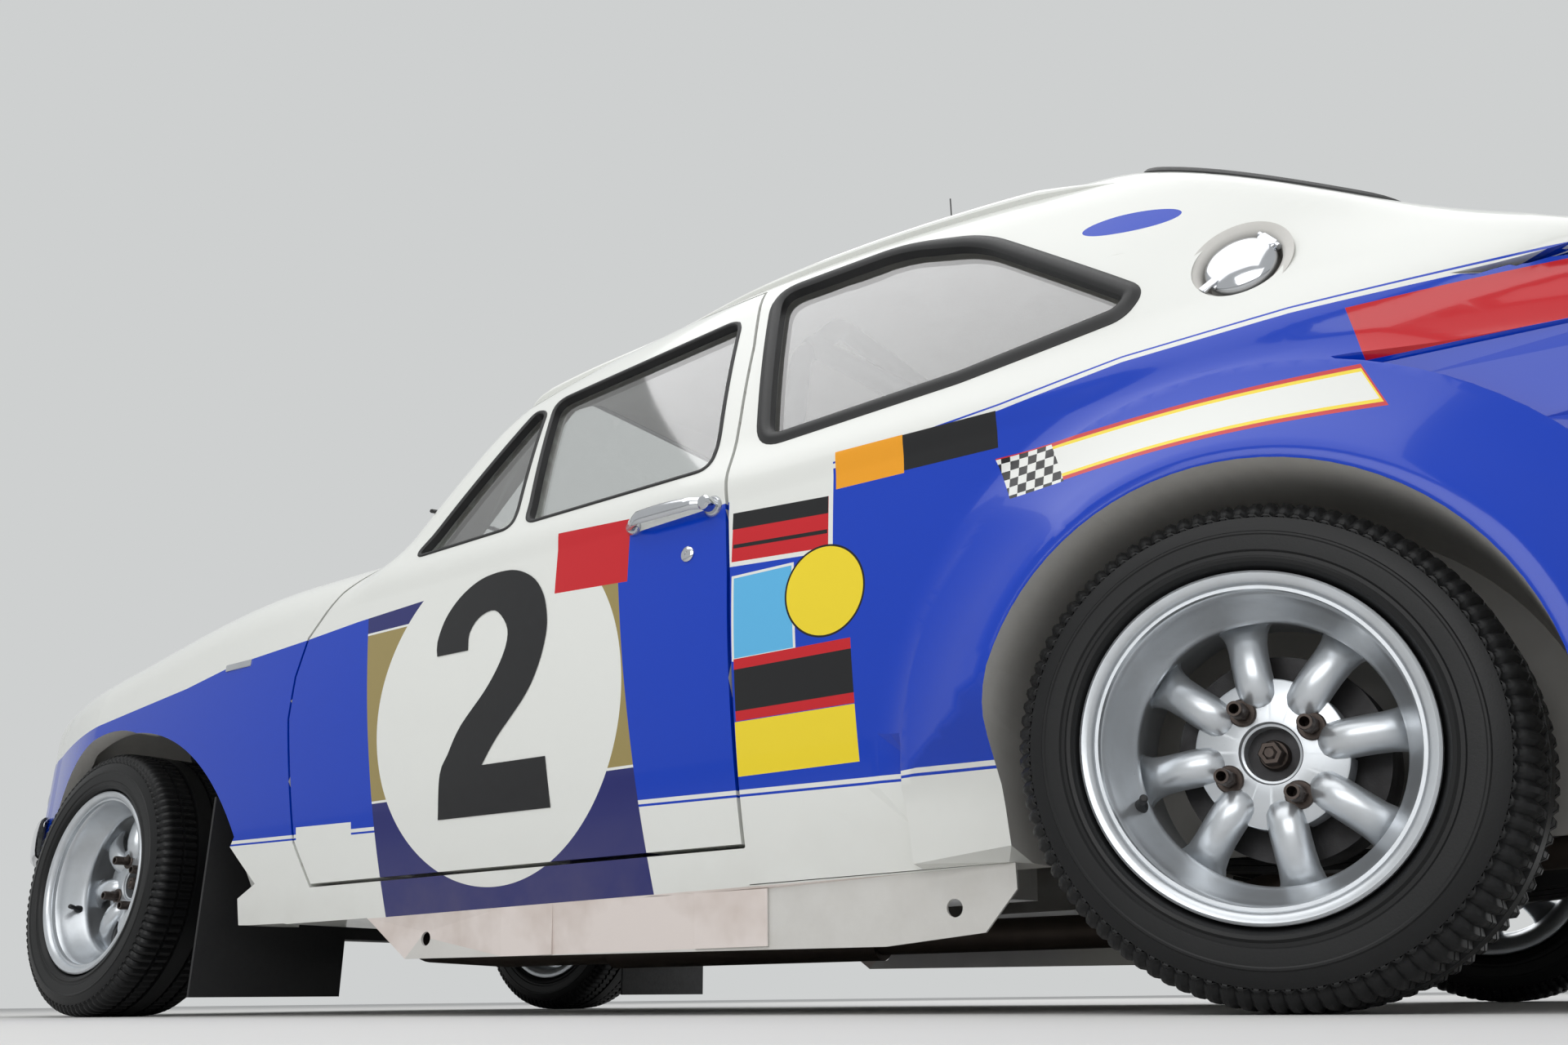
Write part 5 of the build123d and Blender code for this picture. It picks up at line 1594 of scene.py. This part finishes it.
stitch_points = on_wheel(values_of(stitches.vertices, "co") * 1000)
stitches.vertices.foreach_set("co", to_row(stitch_points).ravel())
finish_piece("steering_stitches", stitches, seat_cloth.material, "steering_wheel")

# Dashboard: black metal with round dials and a row of switches. The dials are pushed
# in from the front and clamped behind.
dial_face = Paint("dial_face")
dial_face.surface(Base_Color=dial_face.mix(dial_face.noise(90, 2) * 0.4, tone(16, 16, 18), tone(34, 34, 36)),
                  Roughness=0.3)
mark_white = Paint("dial_marks")
mark_white.surface(Base_Color=mark_white.mix(mark_white.noise(200, 2) * 0.3, tone(230, 230, 224),
                                             tone(196, 196, 188)), Roughness=0.5)
toward = np.array((0, 0.949, -0.316))
up = np.array((0, 0.316, 0.949))


def spoke_way(degrees):
    """A direction across a dial's face."""
    return np.array((math.cos(math.radians(degrees)), 0, 0)) + up * math.sin(math.radians(degrees))


switch = [(-4, 5), (4, 5), (4, 2), (20, 2.6), (21, 0.1)]
dials, dial_plates, marks = [], [], []
for dial_x, dial_z, radius in ((-405, 668, 42), (-268, 668, 42), (-150, 672, 27), (-85, 672, 27),
                               (-20, 672, 27), (45, 672, 27)):
    foot = np.array((dial_x, -199.0, dial_z))
    dials.append(turned([(-8, radius - 3), (-8, radius), (3, radius + 3), (6, radius + 1), (6, radius - 4),
                         (2, radius - 5)], foot, toward, 40))
    dial_plates.append(turned([(-2, 0.1), (-2, radius - 2), (1.5, radius - 2), (1.5, 0.1)], foot, toward, 40))
    face = foot + toward * 2.2
    for k in range(11):
        way = spoke_way(225 - 27 * k)
        marks.append(tube([face + way * radius * 0.72, face + way * radius * 0.86], 0.7, 5))
    needle = foot + toward * 3
    marks.append(tube([needle, needle + spoke_way(120 - radius) * radius * 0.68], 0.9, 5))
for k in range(6):
    dials.append(turned(switch, (-130 + 45 * k, -205, 625), toward, 12))
build("dial_rims", *joined(dials), chrome.material, "shell", "chrome")
build("dial_plates", *joined(dial_plates), dial_face.material, "shell", "black_plastic")
build("dial_marks", *joined(marks), mark_white.material, "shell", None)

# Cabin fittings: vinyl door cards and winders, red webbing belts, mirror, gear lever, handbrake, pedals
# and extinguisher, screwed or bolted to the doors, the floor and the roof
card_vinyl = Paint("card_vinyl")
card_grain = card_vinyl.noise(240, 4, 0.6)
card_vinyl.grained(card_vinyl.noise(5, 3) * 0.6, (30, 30, 32), (52, 51, 52), 0.5 + card_grain * 0.2,
                   card_grain, 0.0006, 0.6)
for name, sign in both_sides:
    card = block((sign * 720 - 4, -430, 330), (sign * 720 + 4, 440, 690), 3)
    ribs = [tube([(sign * 715, y_, 380), (sign * 715, y_, 560)], 4, 8) for y_ in range(-380, 420, 30)]
    build("door_card_" + name, *joined([card] + ribs), card_vinyl.material, "door_" + name, "black_plastic")
    crank = [(sign * x_, y_, z_) for x_, y_, z_ in ((706, 40, 620), (704, 80, 590), (704, 112, 566))]
    pull = [(sign * x_, y_, z_) for x_, y_, z_ in (
        (716, 250, 600), (694, 262, 604), (690, 330, 606), (694, 398, 604), (716, 410, 600))]
    winder = [turned([(0, 0.1), (0, 18), (8, 16), (10, 0.1)], (sign * 716, 40, 620), (-sign, 0, 0), 24),
              tube(crank, 4, 10),
              turned([(0, 0.1), (0, 7), (20, 9), (24, 0.1)], (sign * 706, 112, 566), (-sign, 0, 0), 16),
              tube(smooth_line(pull), 7, 10)]
    build("door_winder_" + name, *joined(winder), chrome.material, "door_" + name, "chrome")
webbing = Paint("belt_webbing")
x, y, z = webbing.place()
twill = webbing.math("SINE", (x + y + z) * 3.0)
webbing.grained(twill * 0.3 + 0.3, (150, 24, 24), (110, 14, 16), 0.7 + webbing.noise(60, 2) * 0.2, twill,
                0.0005, 0.5)
belts = []
for side in (seat_x, -seat_x):
    for offset in (-62, 62):
        line = smooth_line([(side + offset * share, y_, z_) for share, y_, z_ in (
            (1, 246, 372), (1, 256, 470), (1, 284, 610), (0.9, 326, 740), (0.8, 430, 812), (0.7, 470, 800),
            (0.6, 640, 640), (0.5, 960, 352))])
        belts.append(strip(line, np.tile((0.0, -0.7, 0.7), (len(line), 1)),
                           [(-24, -1), (-24, 1), (24, 1), (24, -1)]))
build("shoulder_belts", *joined(belts), webbing.material, "shell", None)
levers = [tube(smooth_line([(0, -120, 400), (0, -100, 470), (-6, -70, 560)]), 6, 12),
          turned([(-30, 0.1), (-30, 40), (0, 26), (6, 0.1)], (0, -118, 420), (0, 0.2, 1), 24)]
levers.append(tube([(-70, 60, 372), (-70, 140, 420), (-70, 210, 450)], 8, 12))
for pedal_x in (-440, -360, -280):
    levers.append(block((pedal_x - 24, -470, 300), (pedal_x + 24, -462, 362), 3))
    levers.append(tube([(pedal_x, -466, 360), (pedal_x, -500, 480), (pedal_x, -600, 560)], 5, 8))
build("cabin_levers", *joined(levers), steel.material, "shell", None)
gear_knob = [(-18, 0.1), (-18, 12), (-8, 19), (6, 20), (16, 13), (20, 0.1)]
knobs = [turned(gear_knob, (-7, -66, 572), (0, 0.3, 1), 28), tube([(-70, 205, 448), (-70, 262, 470)], 13, 14),
         block((-95, -190, 1092), (95, -182, 1134), 4), tube([(0, -188, 1120), (0, -172, 1180)], 5, 8)]
build("cabin_knobs", *joined(knobs), card_vinyl.material, "shell", "black_plastic")
red_paint = Paint("extinguisher_red")
red_paint.surface(Base_Color=red_paint.mix(red_paint.noise(12, 3) * 0.5, tone(176, 20, 22),
                                           tone(140, 14, 16)), Roughness=0.25 + red_paint.noise(80, 2) * 0.1)
bottle = [(0, 0.1), (0, 46), (8, 50), (280, 50), (310, 34), (322, 14), (340, 14), (340, 0.1)]
build("extinguisher", *turned(bottle, (-160, 640, 400), (1, 0, 0), 32), red_paint.material, "shell", None)

# Radiator: a soldered core of thin tubes and fins between two tanks, with two rubber hoses clipped to it
# and a fan of six pressed blades behind it
core = Paint("radiator_core")
x, y, z = core.place()
fin_relief_and_shade = core.math("SINE", z * 2.4) * core.math("SINE", x * 0.6)
# The core's grid raises the fins and paints them lighter and the gaps between them near black: painted shade
# between the fins, as well as their relief.
core.grained(fin_relief_and_shade * 0.5 + 0.5, (20, 20, 21), (52, 51, 50), 0.5 + core.noise(30, 2) * 0.2, fin_relief_and_shade, 0.0015, 0.8,
             Metallic=0.4)
finish_nodes(core, "radiator")
blade_section = ((0, -24), (3, 0), (0, 24), (-3, 0))
blade_rings = [np.array([(x_ * 0.7 + w * 0.35, r_, w) for x_, w in blade_section]) for r_ in (30, 80, 150)]
fan = repeated(raw_mesh("blade", *loft(blade_rings)), 6, steel.material, turn=(math.pi / 3, 0, 0))
fan.transform(Matrix.Rotation(math.pi / 2, 4, "Z"))
fan.transform(Matrix.Translation((0, (-1520 + middle) / 1000, 0.46)))
finish_piece("fan_blades", fan, steel.material, "shell")
top_hose = [(150, -1600, 590), (150, -1540, 600), (110, -1480, 620), (90, -1425, 610)]
bottom_hose = [(-150, -1600, 330), (-150, -1540, 326), (-120, -1470, 350), (-110, -1425, 370)]
pump = turned([(0, 0.1), (0, 40), (30, 34), (120, 30), (120, 0.1)], (0, -1550, 460), (0, 1, 0), 24)
bay = [pump] + [tube(smooth_line(hose), 20, 14) for hose in (top_hose, bottom_hose)]
build("coolant_hoses", *joined(bay), rubber.material, "shell", "black_plastic")
